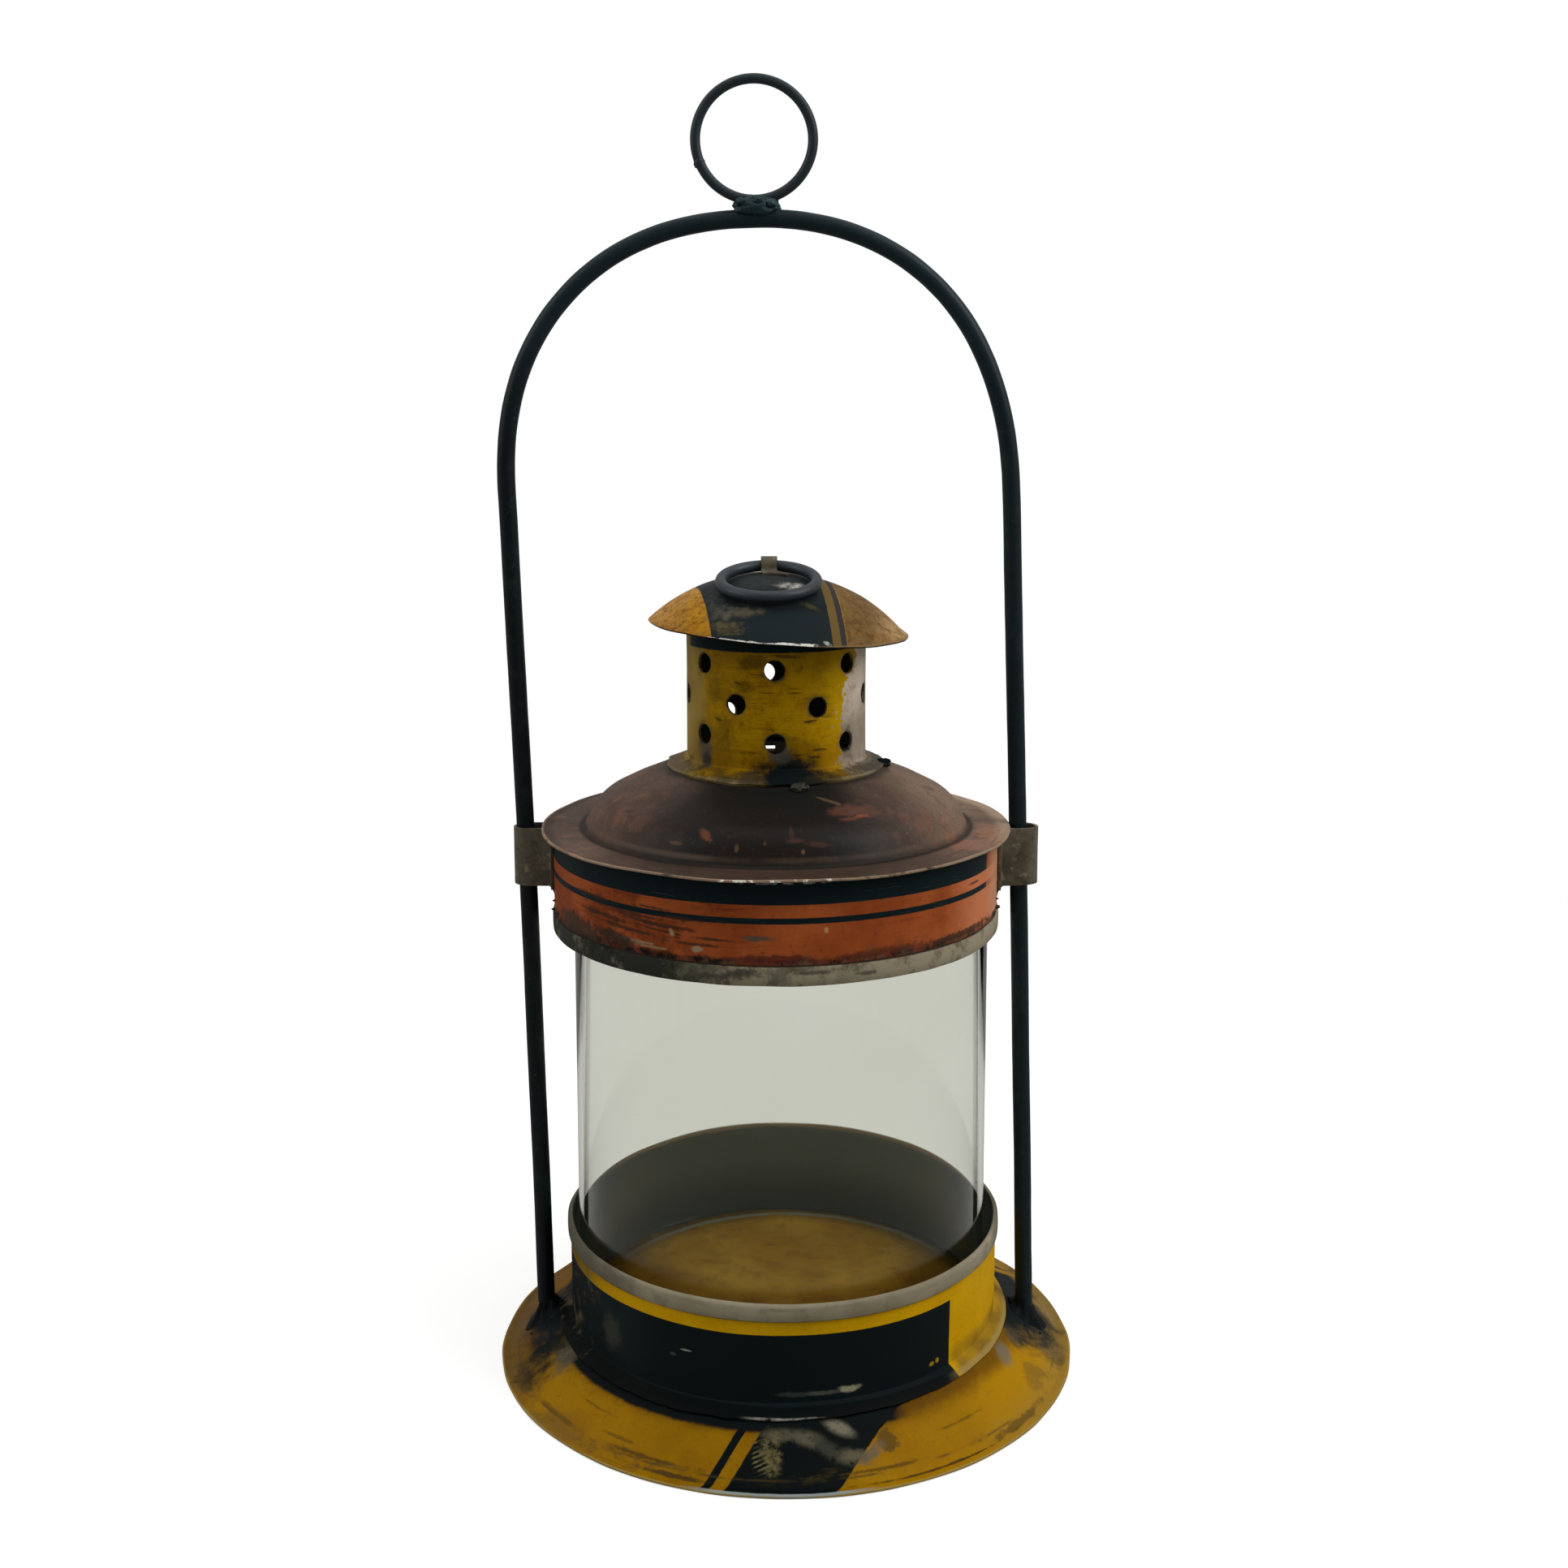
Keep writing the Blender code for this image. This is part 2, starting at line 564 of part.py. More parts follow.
def make_bail(bail):
    def leg_start(side):
        """Height of a leg's end, along the bail's own axis."""
        end = leg_foot(side)[1]
        return end / cos(BAIL_LEAN) - side * ROD_OFFSET * tan(BAIL_LEAN)

    path = [(-ROD_OFFSET, 0.0, leg_start(-1))]
    power = 2 / ARCH_FULLNESS
    for step in range(ARCH_STEPS + 1):
        around = pi - pi * step / ARCH_STEPS
        reach = abs(cos(around)) ** power
        rise = max(sin(around), 0.0) ** power
        path.append((ROD_OFFSET * reach * (1 if cos(around) > 0 else -1), 0.0, ARCH_SPRING + ARCH_RISE * rise))
    path.append((ROD_OFFSET, 0.0, leg_start(1)))
    wire_object("bail_rod", path, ROD_RADIUS, BLACK_IRON, bail)


def ring_bmesh(wire_radius):
    """The hanging ring, upright above the arch."""
    bm = turned_bmesh(round_outline(wire_radius, RING_RADIUS, WIRE_SIDES), RING_STEPS)
    stand = Matrix.Translation((RING_SHIFT, 0.0, RING_CENTRE)) @ Matrix.Rotation(pi / 2, 4, "X")
    bmesh.ops.transform(bm, matrix=stand, verts=bm.verts)
    return bm


def arch_crown_bmesh(rod_radius):
    """A straight rod at the crown of the arch."""
    bm = bmesh.new()
    lay = Matrix.Translation((0.0, 0.0, ARCH_TOP - ROD_RADIUS)) @ Matrix.Rotation(pi / 2, 4, "Y")
    bmesh.ops.create_cone(bm, cap_ends=True, segments=2 * WIRE_SIDES, radius1=rod_radius, radius2=rod_radius,
                          depth=2 * RING_WELD_LENGTH, matrix=lay)
    return bm


def make_hanging_ring(bail):
    place("hanging_ring", mesh_of(ring_bmesh(RING_WIRE / 2), "hanging_ring"), BLACK_IRON, parent=bail)
    bm = bmesh.new()
    bmesh.ops.create_icosphere(bm, subdivisions=3, radius=0.5)
    bmesh.ops.scale(bm, vec=(RING_WELD_LENGTH, RING_WELD_DEPTH, RING_WELD_HEIGHT), verts=bm.verts)
    bmesh.ops.translate(bm, vec=(RING_SHIFT, 0.0, ARCH_TOP + RING_STAND_OFF / 2), verts=bm.verts)
    weld = place("ring_weld", mesh_of(bm, "ring_weld"), WELD_IRON, parent=bail)
    ring_cut = mesh_of(ring_bmesh(RING_WIRE / 2 + SEAT), "ring_cutter")
    arch_cut = mesh_of(arch_crown_bmesh(ROD_RADIUS + SEAT), "arch_cutter")
    cut_by(weld, place("ring_cutter", ring_cut, WELD_IRON, parent=bail))
    cut_by(weld, place("arch_cutter", arch_cut, WELD_IRON, parent=bail))


def make_foot_weld(name, side, bail):
    """A mound of weld metal round a leg's foot, lying on the brim and cut back from the collar's foot."""
    leg_x = leg_foot(side)[0]
    inner = ROD_RADIUS + SEAT
    outline = [(0.0, 0.0), (inner + FOOT_WELD_WIDTH, 0.0)]
    steps = 2 * BEND_STEPS
    for step in range(steps + 1):
        share = step / steps
        height = WELD_EDGE + (FOOT_WELD_HEIGHT - WELD_EDGE) * share ** FOOT_WELD_HOLLOW
        outline.append((inner + FOOT_WELD_WIDTH * (1 - share), height))
    outline.append((0.0, FOOT_WELD_HEIGHT))
    bm = turned_bmesh(outline, LUMP_STEPS, closed=False)
    for vert in bm.verts:
        vert.co.x += leg_x
        vert.co.z += brim_height(hypot(vert.co.x, vert.co.y)) + SEAT
    weld = place(name, mesh_of(bm, name), WELD_IRON)

    leg = bmesh.new()
    at_foot = Matrix.Translation((side * ROD_OFFSET, 0.0, FLOOR_RISE))
    bmesh.ops.create_cone(leg, cap_ends=True, segments=LUMP_STEPS, radius1=inner, radius2=inner,
                          depth=4 * FLOOR_RISE, matrix=at_foot)
    leg_name = name + "_leg_cutter"
    cut_by(weld, place(leg_name, mesh_of(leg, leg_name), WELD_IRON, parent=bail))
    collar = bmesh.new()
    clear = collar_foot_end().x + SHEET + SEAT
    bmesh.ops.create_cone(collar, cap_ends=True, segments=TURN_STEPS, radius1=clear, radius2=clear,
                          depth=4 * FLOOR_RISE)
    collar_name = name + "_collar_cutter"
    cut_by(weld, place(collar_name, mesh_of(collar, collar_name), WELD_IRON))


def main():
    for old in list(bpy.data.objects):
        bpy.data.objects.remove(old, do_unlink=True)
    hood = frame("hood_frame", (HOOD_X, 0.0, 0.0))
    bail = frame("bail_frame", (BAIL_FOOT_SHIFT, 0.0, 0.0), (0.0, -BAIL_LEAN, 0.0))
    make_base_plate()
    make_base_collar()
    make_glass()
    make_hood_band(hood)
    make_hood_dome(hood)
    make_chimney(hood)
    make_chimney_solder("chimney_solder_front", hood, CHIMNEY_SOLDER_FRONT)
    make_chimney_solder("chimney_solder_side", hood, CHIMNEY_SOLDER_SIDE)
    make_cap(hood)
    make_cap_strap(hood)
    make_cap_ring(hood)
    make_bail(bail)
    make_hanging_ring(bail)
    for name, side in (("left", -1), ("right", 1)):
        make_clip("clip_" + name, hood, side)
        make_clip_solder("clip_solder_" + name, hood, side)
        make_foot_weld("foot_weld_" + name, side, bail)


main()
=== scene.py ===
"""Looks of the hanging candle lantern: worn printed tin, a black iron bail and rings, and a clear glass tube.

Shapes are drawn in millimetres, with +Z up and the front at -Y, and scaled to metres once each is whole.
"""
from functools import reduce
from math import asin, atan2, cos, degrees, hypot, pi, radians, sin, sqrt, tan

import bmesh
import bpy
from mathutils import Matrix, Vector, noise


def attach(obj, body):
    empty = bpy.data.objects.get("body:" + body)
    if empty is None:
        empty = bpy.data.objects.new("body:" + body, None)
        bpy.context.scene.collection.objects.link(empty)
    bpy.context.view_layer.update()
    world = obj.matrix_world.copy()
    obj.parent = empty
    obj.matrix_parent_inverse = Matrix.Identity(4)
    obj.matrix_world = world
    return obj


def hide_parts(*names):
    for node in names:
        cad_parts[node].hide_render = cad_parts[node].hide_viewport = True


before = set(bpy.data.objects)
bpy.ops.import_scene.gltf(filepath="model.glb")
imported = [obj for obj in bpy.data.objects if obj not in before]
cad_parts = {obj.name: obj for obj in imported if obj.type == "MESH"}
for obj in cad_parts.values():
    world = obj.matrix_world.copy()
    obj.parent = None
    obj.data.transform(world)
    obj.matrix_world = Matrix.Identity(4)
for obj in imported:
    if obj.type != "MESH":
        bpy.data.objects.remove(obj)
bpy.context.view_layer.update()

MM = 0.001
DENT_SEED = 5
TURN_STEPS = 216
GAUGE = 0.8
HOOD_AXIS = -3.153
GLASS_AXIS = -1.6

# Base and bail
FLOOR_TOP = 15.2
BRIM_START, BRIM_END, BASE_REACH = 64.3, 86.8, 90.0
COLLAR_OFF = -1.0
COLLAR_BORE, FLARE_BEND, FLARE_REACH = 65.8, 68.4, 70.1
FLARE_DROP = 0.64
WELD_CLEARS_COLLAR = 71.2
BAIL_FOOT = 1.9
BAIL_LEAN = radians(2.0)
ROD_OFFSET, ROD_REACH = 75.6, 2.75
ARCH_SPRING, ARCH_RISE, ARCH_POWER = 268.894, 80.0, 2 / 2.23
RING_MIDDLE = (1.6, 0.0, 371.544)
RING_REACH, RING_WIRE = 17.25, 1.5
RING_WELD = (1.5, 0.0, 352.2)

# Glass
GLASS_BORE, GLASS_REACH, GLASS_FOOT, GLASS_TOP = 61.4, 63.5, 15.5, 166.5

# Hood; each vent that was punched off its place has its turn in degrees and its lift
BAND_WALL = 67.7
CROWN_TOP, CROWN_REACH = 188.6, 26.0
DOME_BRIM, DOME_REACH = 167.6, 71.5
TUBE_REACH, TUBE_TOP = 26.4, 236.0
VENT_REACH = 3.0
VENT_ROWS = (198.0, 208.6, 219.2)
VENTS = 7
VENTS_OFF = {(0, 0): (0.0, -1.3), (0, 1): (-0.6, -2.2), (1, 0): (1.6, -1.5), (1, 6): (0.4, -0.6),
             (2, 0): (-0.6, -0.9), (0, 3): (12.0, 0.0), (0, 4): (9.4, 0.3), (1, 3): (7.4, 1.6)}
CAP_CENTRE = Vector((HOOD_AXIS - 2.059, 0.0, 187.693))
CAP_BOW, CAP_REACH = 56.751, 39.5
CAP_TILT = radians(4.0)
STRAP_HALF, STRAP_BEND = 2.4, 2.5
LOOP_HEIGHT, LOOP_REACH, LOOP_WIRE = 246.444, 14.1, 1.7
LOOP_REST = 0.24061
CLIP_HALF, CLIP_SEAT, CLIP_END, CLIP_GAUGE = 4.05, 68.45, 76.007, 1.0
CLIP_FOOT, CLIP_TOP = 148.6, 166.45

# Share of its own tone that a paint shows under the lamps, and the room's tone behind the glass
LIGHT = 0.36
THROUGH_GLASS = (0.665, 0.665, 0.605, 1.0)


def tone(red, green, blue):
    """A colour by its screen values."""
    def linear(value):
        value /= 255
        return value / 12.92 if value <= 0.04045 else ((value + 0.055) / 1.055) ** 2.4
    return (linear(red), linear(green), linear(blue), 1.0)


def ink(red, green, blue):
    """The paint that shows as that tone under the lamps."""
    return tuple(min(part / LIGHT, 0.92) for part in tone(red, green, blue)[:3]) + (1.0,)


NAVY = ink(8, 16, 18)
SOOT = ink(12, 15, 16)
BARE_DARK = ink(52, 51, 45)
RUST = ink(84, 54, 26)
MAROON = ink(40, 20, 16)


# Small tools for shader trees
def feed(tree, socket, value):
    if isinstance(value, bpy.types.NodeSocket):
        tree.links.new(value, socket)
    else:
        socket.default_value = value


def add(tree, kind, ins=None, **settings):
    made = tree.nodes.new("ShaderNode" + kind)
    for key, value in settings.items():
        setattr(made, key, value)
    for key, value in (ins or {}).items():
        feed(tree, made.inputs[key], value)
    return made


def calc(tree, operation, *values):
    made = add(tree, "Math", operation=operation)
    for socket, value in zip(made.inputs, values):
        feed(tree, socket, value)
    return made.outputs[0]


def span(tree, one, other):
    """Length across two measures at right angles."""
    square = calc(tree, "MULTIPLY_ADD", one, one, calc(tree, "MULTIPLY", other, other))
    return calc(tree, "SQRT", square)


def rise(tree, value, low, high):
    """0 below low, 1 above high, smooth between; the other way round if low is the higher."""
    ins = {"Value": value, "From Min": low, "From Max": high}
    return add(tree, "MapRange", ins, interpolation_type="SMOOTHSTEP").outputs["Result"]


def band(tree, value, low, high, soft):
    """1 between two values and 0 outside them."""
    above = rise(tree, value, low - soft, low + soft)
    return calc(tree, "MULTIPLY", above, rise(tree, value, high + soft, high - soft))


def mix_colour(tree, mask, under, over, blend="MIX"):
    made = add(tree, "Mix", data_type="RGBA", blend_type=blend)
    for index, value in ((0, mask), (6, under), (7, over)):
        feed(tree, made.inputs[index], value)
    return made.outputs[2]


def mix_value(tree, mask, under, over):
    made = add(tree, "Mix", data_type="FLOAT")
    for index, value in ((0, mask), (2, under), (3, over)):
        feed(tree, made.inputs[index], value)
    return made.outputs[0]


def new_material(name):
    material = bpy.data.materials.new(name)
    material.use_nodes = True
    return material, material.node_tree, material.node_tree.nodes["Principled BSDF"]


def new_group(name, ins, outs):
    tree = bpy.data.node_groups.new(name, "ShaderNodeTree")
    for label, start in ins:
        kind = "NodeSocketVector" if start is None else "NodeSocketFloat"
        socket = tree.interface.new_socket(label, in_out="INPUT", socket_type=kind)
        if start is not None:
            socket.default_value = start
    for label, kind in outs:
        tree.interface.new_socket(label, in_out="OUTPUT", socket_type="NodeSocket" + kind)
    return tree, tree.nodes.new("NodeGroupInput").outputs, tree.nodes.new("NodeGroupOutput").inputs


def use(tree, group, **ins):
    made = tree.nodes.new("ShaderNodeGroup")
    made.node_tree = group
    for key, value in ins.items():
        feed(tree, made.inputs[key.replace("_", " ")], value)
    return made.outputs


def object_noise(tree, scale, detail, roughness=0.6, vector=None):
    where = vector or add(tree, "TexCoord").outputs["Object"]
    made = add(tree, "TexNoise", {"Vector": where, "Scale": scale, "Detail": detail, "Roughness": roughness})
    return made.outputs[0]


# Shared effects
def place_group():
    """Where a point lies round an upright axis, in millimetres and degrees; the front is at 0 degrees."""
    outs = [(label, "Float") for label in ("Around", "Height", "Reach", "Side", "Depth")] + [("Lay", "Vector")]
    tree, ins, outs = new_group("round_place", [("Axis", 0.0)], outs)
    parts = add(tree, "SeparateXYZ", {0: add(tree, "TexCoord").outputs["Object"]}).outputs
    side = calc(tree, "SUBTRACT", calc(tree, "MULTIPLY", parts[0], 1000.0), ins["Axis"])
    depth = calc(tree, "MULTIPLY", parts[1], 1000.0)
    height = calc(tree, "MULTIPLY", parts[2], 1000.0)
    reach = span(tree, depth, side)
    turn = calc(tree, "ARCTAN2", side, calc(tree, "MULTIPLY", depth, -1.0))
    around = calc(tree, "DEGREES", turn)
    for label, value in (
            ("Around", around), ("Height", height), ("Reach", reach), ("Side", side), ("Depth", depth)):
        feed(tree, outs[label], value)
    across = calc(tree, "MULTIPLY", calc(tree, "MULTIPLY_ADD", height, 1.2, reach), 1.6)
    along = [calc(tree, "MULTIPLY", value, 0.085) for value in (side, depth)]
    feed(tree, outs["Lay"], add(tree, "CombineXYZ", {0: along[0], 1: along[1], 2: across}).outputs[0])
    return tree


def grain_group():
    """Cloudy tone, blotches, fine grain and small specks."""
    outs = [(label, "Float") for label in ("Cloud", "Blot", "Grain", "Speck")]
    tree, ins, outs = new_group("tin_grain", [("Size", 1.0)], outs)
    where = add(tree, "TexCoord").outputs["Object"]
    scaled = add(tree, "VectorMath", {0: where}, operation="SCALE")
    feed(tree, scaled.inputs["Scale"], calc(tree, "DIVIDE", 1.0, ins["Size"]))
    point = scaled.outputs[0]
    feed(tree, outs["Cloud"], rise(tree, object_noise(tree, 42.0, 4.0, 0.55, point), 0.3, 0.7))
    feed(tree, outs["Blot"], rise(tree, object_noise(tree, 150.0, 8.0, 0.68, point), 0.5, 0.66))
    feed(tree, outs["Grain"], object_noise(tree, 1300.0, 3.0, 0.6, point))
    cells = add(tree, "TexVoronoi", {"Vector": point, "Scale": 420.0})
    few = rise(tree, object_noise(tree, 260.0, 2.0, 0.5, point), 0.5, 0.62)
    dots = rise(tree, cells.outputs["Distance"], 0.3, 0.16)
    feed(tree, outs["Speck"], calc(tree, "MULTIPLY", dots, few))
    return tree


def scratch_group():
    """Scratches that run round the axis: thin ones, and broad drags where something has rubbed."""
    tree, ins, outs = new_group("dragged_scratches", [("Lay", None)], [("Thin", "Float"), ("Broad", "Float")])
    broken = object_noise(tree, 95.0, 4.0, 0.65)
    for label, scale, detail, roughness, start, full, gaps in (
            ("Thin", 1.0, 5.0, 0.6, 0.6, 0.7, (0.46, 0.6)),
            ("Broad", 0.36, 7.0, 0.72, 0.52, 0.68, (0.4, 0.62))):
        line = rise(tree, object_noise(tree, scale, detail, roughness, ins["Lay"]), start, full)
        feed(tree, outs[label], calc(tree, "MULTIPLY", line, rise(tree, broken, *gaps)))
    return tree


def patch_group():
    """A spot with a ragged edge, on any two measures of the surface."""
    ins = [("U", 0.0), ("V", 0.0), ("Mid U", 0.0), ("Mid V", 0.0), ("Half U", 1.0), ("Half V", 1.0),
           ("Slant", 0.0), ("Ragged", 0.5), ("Grit", 220.0), ("Soft", 0.25)]
    tree, ins, outs = new_group("ragged_patch", ins, [("Mask", "Float")])
    off = calc(tree, "SUBTRACT", ins["U"], ins["Mid U"])
    lift = calc(tree, "SUBTRACT", calc(tree, "MULTIPLY_ADD", off, ins["Slant"], ins["V"]), ins["Mid V"])
    off = calc(tree, "DIVIDE", off, ins["Half U"])
    lift = calc(tree, "DIVIDE", lift, ins["Half V"])
    far = span(tree, lift, off)
    wander = calc(tree, "SUBTRACT", object_noise(tree, ins["Grit"], 7.0, 0.7), 0.5)
    far = calc(tree, "ADD", far, calc(tree, "MULTIPLY", wander, calc(tree, "MULTIPLY", ins["Ragged"], 4.0)))
    outer, inner = (calc(tree, operation, 1.0, ins["Soft"]) for operation in ("ADD", "SUBTRACT"))
    feed(tree, outs["Mask"], rise(tree, far, outer, inner))
    return tree


PLACE = place_group()
GRAIN = grain_group()
SCRATCH = scratch_group()
PATCH = patch_group()


class Coat:
    """The layers of one finish, laid one over the other. A mask is 1 where a layer shows."""

    def __init__(self, name, colour, rough, metal=0.0, axis=0.0, size=1.0):
        self.material, self.tree, self.shader = new_material(name)
        self.colour = colour
        self.rough = rough
        self.metal = metal
        self.high = None
        self.at = use(self.tree, PLACE, Axis=axis)
        marks = use(self.tree, GRAIN, Size=size)
        self.cloud, self.blot = marks["Cloud"], marks["Blot"]
        self.grain, self.speck = marks["Grain"], marks["Speck"]
        drag = use(self.tree, SCRATCH, Lay=self.at["Lay"])
        self.thin, self.broad = drag["Thin"], drag["Broad"]

    def over(self, *masks, colour=None, rough=None, metal=None, high=None, share=None):
        """Lays a finish where all the masks are 1, or a share of it."""
        mask = self.thinned(masks, share)
        if colour is not None:
            self.colour = mix_colour(self.tree, mask, self.colour, colour)
        if rough is not None:
            self.rough = mix_value(self.tree, mask, self.rough, rough)
        if metal is not None:
            self.metal = mix_value(self.tree, mask, self.metal, metal)
        if high is not None:
            lift = calc(self.tree, "MULTIPLY", mask, high)
            self.high = lift if self.high is None else calc(self.tree, "ADD", self.high, lift)

    def darken(self, *masks, colour, share=None):
        """Multiplies the colour where all the masks are 1, as dirt does."""
        self.colour = mix_colour(self.tree, self.thinned(masks, share), self.colour, colour, "MULTIPLY")

    def thinned(self, masks, share):
        mask = self.times(*masks)
        return mask if share is None else self.part(mask, share)

    def part(self, mask, share):
        return calc(self.tree, "MULTIPLY", mask, share)

    def times(self, *masks):
        return reduce(lambda one, other: calc(self.tree, "MULTIPLY", one, other), masks)

    def either(self, *masks):
        return reduce(lambda one, other: calc(self.tree, "MAXIMUM", one, other), masks)

    def band(self, value, low, high, soft=0.2, amount=None, scale=260.0):
        return band(self.tree, self.ragged(value, amount, scale), low, high, soft)

    def rise(self, value, low, high, amount=None, scale=260.0):
        return rise(self.tree, self.ragged(value, amount, scale), low, high)

    def blots(self, low, high, scale, detail, roughness=0.6):
        """Uneven blots all over the piece."""
        return self.rise(object_noise(self.tree, scale, detail, roughness), low, high)

    def ragged(self, value, amount, scale=260.0):
        """A measure that wanders by an amount, if any, so that an edge drawn on it is uneven."""
        if amount is None:
            return value
        wander = calc(self.tree, "SUBTRACT", object_noise(self.tree, scale, 7.0, 0.7), 0.5)
        return calc(self.tree, "MULTIPLY_ADD", wander, 2 * amount, value)

    def flank(self, near, far, wander=8.0, scale=60.0):
        """Right side (near < far) or left side (near > far) of a round piece, dying away towards the back."""
        around = self.at["Around"]
        back = -1.0 if far < near else 1.0
        side = self.rise(around, near, far, wander, scale)
        return self.times(side, self.rise(around, back * 178.0, back * 118.0))

    def spot(self, u, v, middle, half, slant=0.0, ragged=0.5, grit=220.0, soft=0.25):
        ins = {"U": u, "V": v, "Mid_U": middle[0], "Mid_V": middle[1], "Half_U": half[0], "Half_V": half[1],
               "Slant": slant, "Ragged": ragged, "Grit": grit, "Soft": soft}
        return use(self.tree, PATCH, **ins)["Mask"]

    def weather(self, dirt, cloud=0.6, grain=0.4, drags=0.4, scratches=0.35, specks=0.3, speck=RUST):
        """Clouded tone, fine grain, rubbed streaks, scratches and specks, over the whole of a piece."""
        self.darken(self.cloud, colour=dirt, share=cloud)
        self.darken(self.grain, colour=tone(150, 146, 140), share=grain)
        self.darken(self.broad, colour=dirt, share=drags)
        self.over(self.thin, colour=ink(30, 25, 18), rough=0.6, high=-0.5, share=scratches)
        self.over(self.speck, colour=speck, rough=0.7, share=specks)
        self.over(self.grain, rough=0.62)

    def done(self, bump=0.1, depth=0.0001, fine=0.5, shine=0.05):
        tree = self.tree
        for label, value in (("Base Color", self.colour), ("Roughness", self.rough), ("Metallic", self.metal)):
            feed(tree, self.shader.inputs[label], value)
        grit = self.part(self.grain, fine)
        high = grit if self.high is None else calc(tree, "ADD", grit, self.high)
        relief = add(tree, "Bump", {"Strength": bump, "Distance": depth, "Height": high})
        feed(tree, self.shader.inputs["Normal"], relief.outputs[0])
        self.shader.inputs["Specular IOR Level"].default_value = shine
        return self.material


# Finishes of the base
def brim_print():
    """Yellow print on the base's plate: a slanting dark band, scraped patches, burns at the bail's feet;
    painted light on the right, painted shade on the left, a painted highlight on the front of the lip, and dirt
    with painted shade round the collar and on the floor inside.
    """
    coat = Coat("brim_print", ink(112, 81, 0), 0.45)
    at, tree = coat.at, coat.tree
    side, depth, reach, around = at["Side"], at["Depth"], at["Reach"], at["Around"]
    swell = calc(tree, "MULTIPLY_ADD", coat.band(reach, 66, 79, 8), 0.012, 1)
    side, depth, reach = (calc(tree, "MULTIPLY", value, swell) for value in (side, depth, reach))
    slant = calc(tree, "MULTIPLY_ADD", side, 0.789, calc(tree, "MULTIPLY", depth, -0.614))
    slant = coat.ragged(slant, 0.3, 420)
    dark = coat.either(coat.band(slant, 33.5, 35.7, 0.15), coat.band(slant, 39.4, 64.3, 0.2))
    coat.weather(tone(208, 190, 140), drags=0.3, scratches=0.4, specks=0.3, speck=ink(60, 44, 14))
    # Painted light: the yellow is brighter on the right side, where the light falls.
    coat.over(coat.rise(around, 26, 62, 9, 60), coat.rise(around, 112, 84), colour=ink(128, 94, 0), share=0.5)
    coat.over(dark, colour=ink(3, 7, 7))

    turned_away = calc(tree, "ABSOLUTE", calc(tree, "SUBTRACT", around, 16))
    # Painted shade: the left side of the brim is darkened, away from the light.
    coat.darken(coat.flank(-52, -82, 14), colour=tone(170, 156, 140), share=0.8)
    coat.darken(coat.band(around, -34, 14, 14, 8, 60), colour=tone(216, 214, 210), share=0.7)
    groove = coat.times(coat.band(reach, 82.4, 87.2, 1.2, 1.8, 70), coat.broad)
    coat.over(groove, colour=ink(46, 36, 14), rough=0.6, share=0.75)
    line = coat.times(coat.band(reach, 84.4, 84.9, 0.25, 0.7, 40), coat.blots(0.42, 0.56, 60, 3))
    coat.over(line, colour=ink(38, 30, 14), rough=0.6, share=0.7)
    edge = coat.times(coat.rise(reach, 79, 88, 3.2, 110), coat.rise(turned_away, 46, 80))
    coat.over(edge, coat.cloud, colour=ink(72, 55, 25), rough=0.6)
    coat.over(coat.rise(reach, 79, 88, 3, 110), coat.flank(34, 60, 6), colour=ink(92, 73, 30), rough=0.55,
              share=0.6)
    smudge = coat.times(coat.rise(reach, 81, 86, 4, 90), coat.blot, coat.rise(turned_away, 28, 60))
    coat.over(smudge, colour=ink(50, 40, 22), rough=0.6, share=0.6)
    coat.over(coat.rise(reach, 89, 89.6, 0.4), colour=ink(104, 88, 46), rough=0.5, metal=0.2)

    for mid, half, share, colour in (
            ((-27, 83.8), (8, 0.5), 0.7, ink(34, 26, 8)), ((-36, 81.8), (4, 0.4), 0.55, ink(44, 34, 9)),
            ((-22, 86.2), (7, 0.6), 0.8, ink(28, 23, 10)), ((-52, 84.2), (6, 0.5), 0.5, ink(46, 35, 9)),
            ((-70, 85), (6, 2), 0.7, ink(38, 31, 14)), ((30, 87), (15, 0.35), 0.85, ink(34, 25, 8)),
            ((19, 83.8), (8, 0.4), 0.7, ink(44, 33, 9)), ((52, 86.2), (9, 0.9), 0.7, ink(50, 38, 14)),
            ((67, 81.6), (3.6, 2.6), 0.55, ink(66, 50, 20)), ((40, 79), (5, 0.3), 0.6, ink(56, 41, 8)),
            ((-46, 78), (5, 0.35), 0.5, ink(52, 38, 8)), ((80, 86), (5, 2.2), 0.7, ink(60, 47, 24))):
        stain = coat.spot(around, reach, mid, half, ragged=0.9, grit=190, soft=0.45)
        coat.over(stain, colour=colour, rough=0.6, share=share)
    # Painted highlight: a thin pale grey line on the front of the lip, where it catches the light.
    coat.over(coat.band(reach, 88.3, 89.5, 0.2, 0.3), coat.band(around, -16, 14, 4), colour=ink(90, 95, 93),
              rough=0.45)

    # Dirt and painted shade: the brim is darkened where it meets the collar.
    dirt = coat.rise(reach, 76.5, 71.5, 2.2, 120)
    coat.darken(dirt, colour=tone(130, 112, 76), share=0.75)
    foot = coat.times(coat.rise(reach, 74.6, 73.4, 0.8, 160), coat.band(around, -64, 27, 3, 3, 90))
    coat.over(foot, colour=ink(3, 6, 6), rough=0.5)

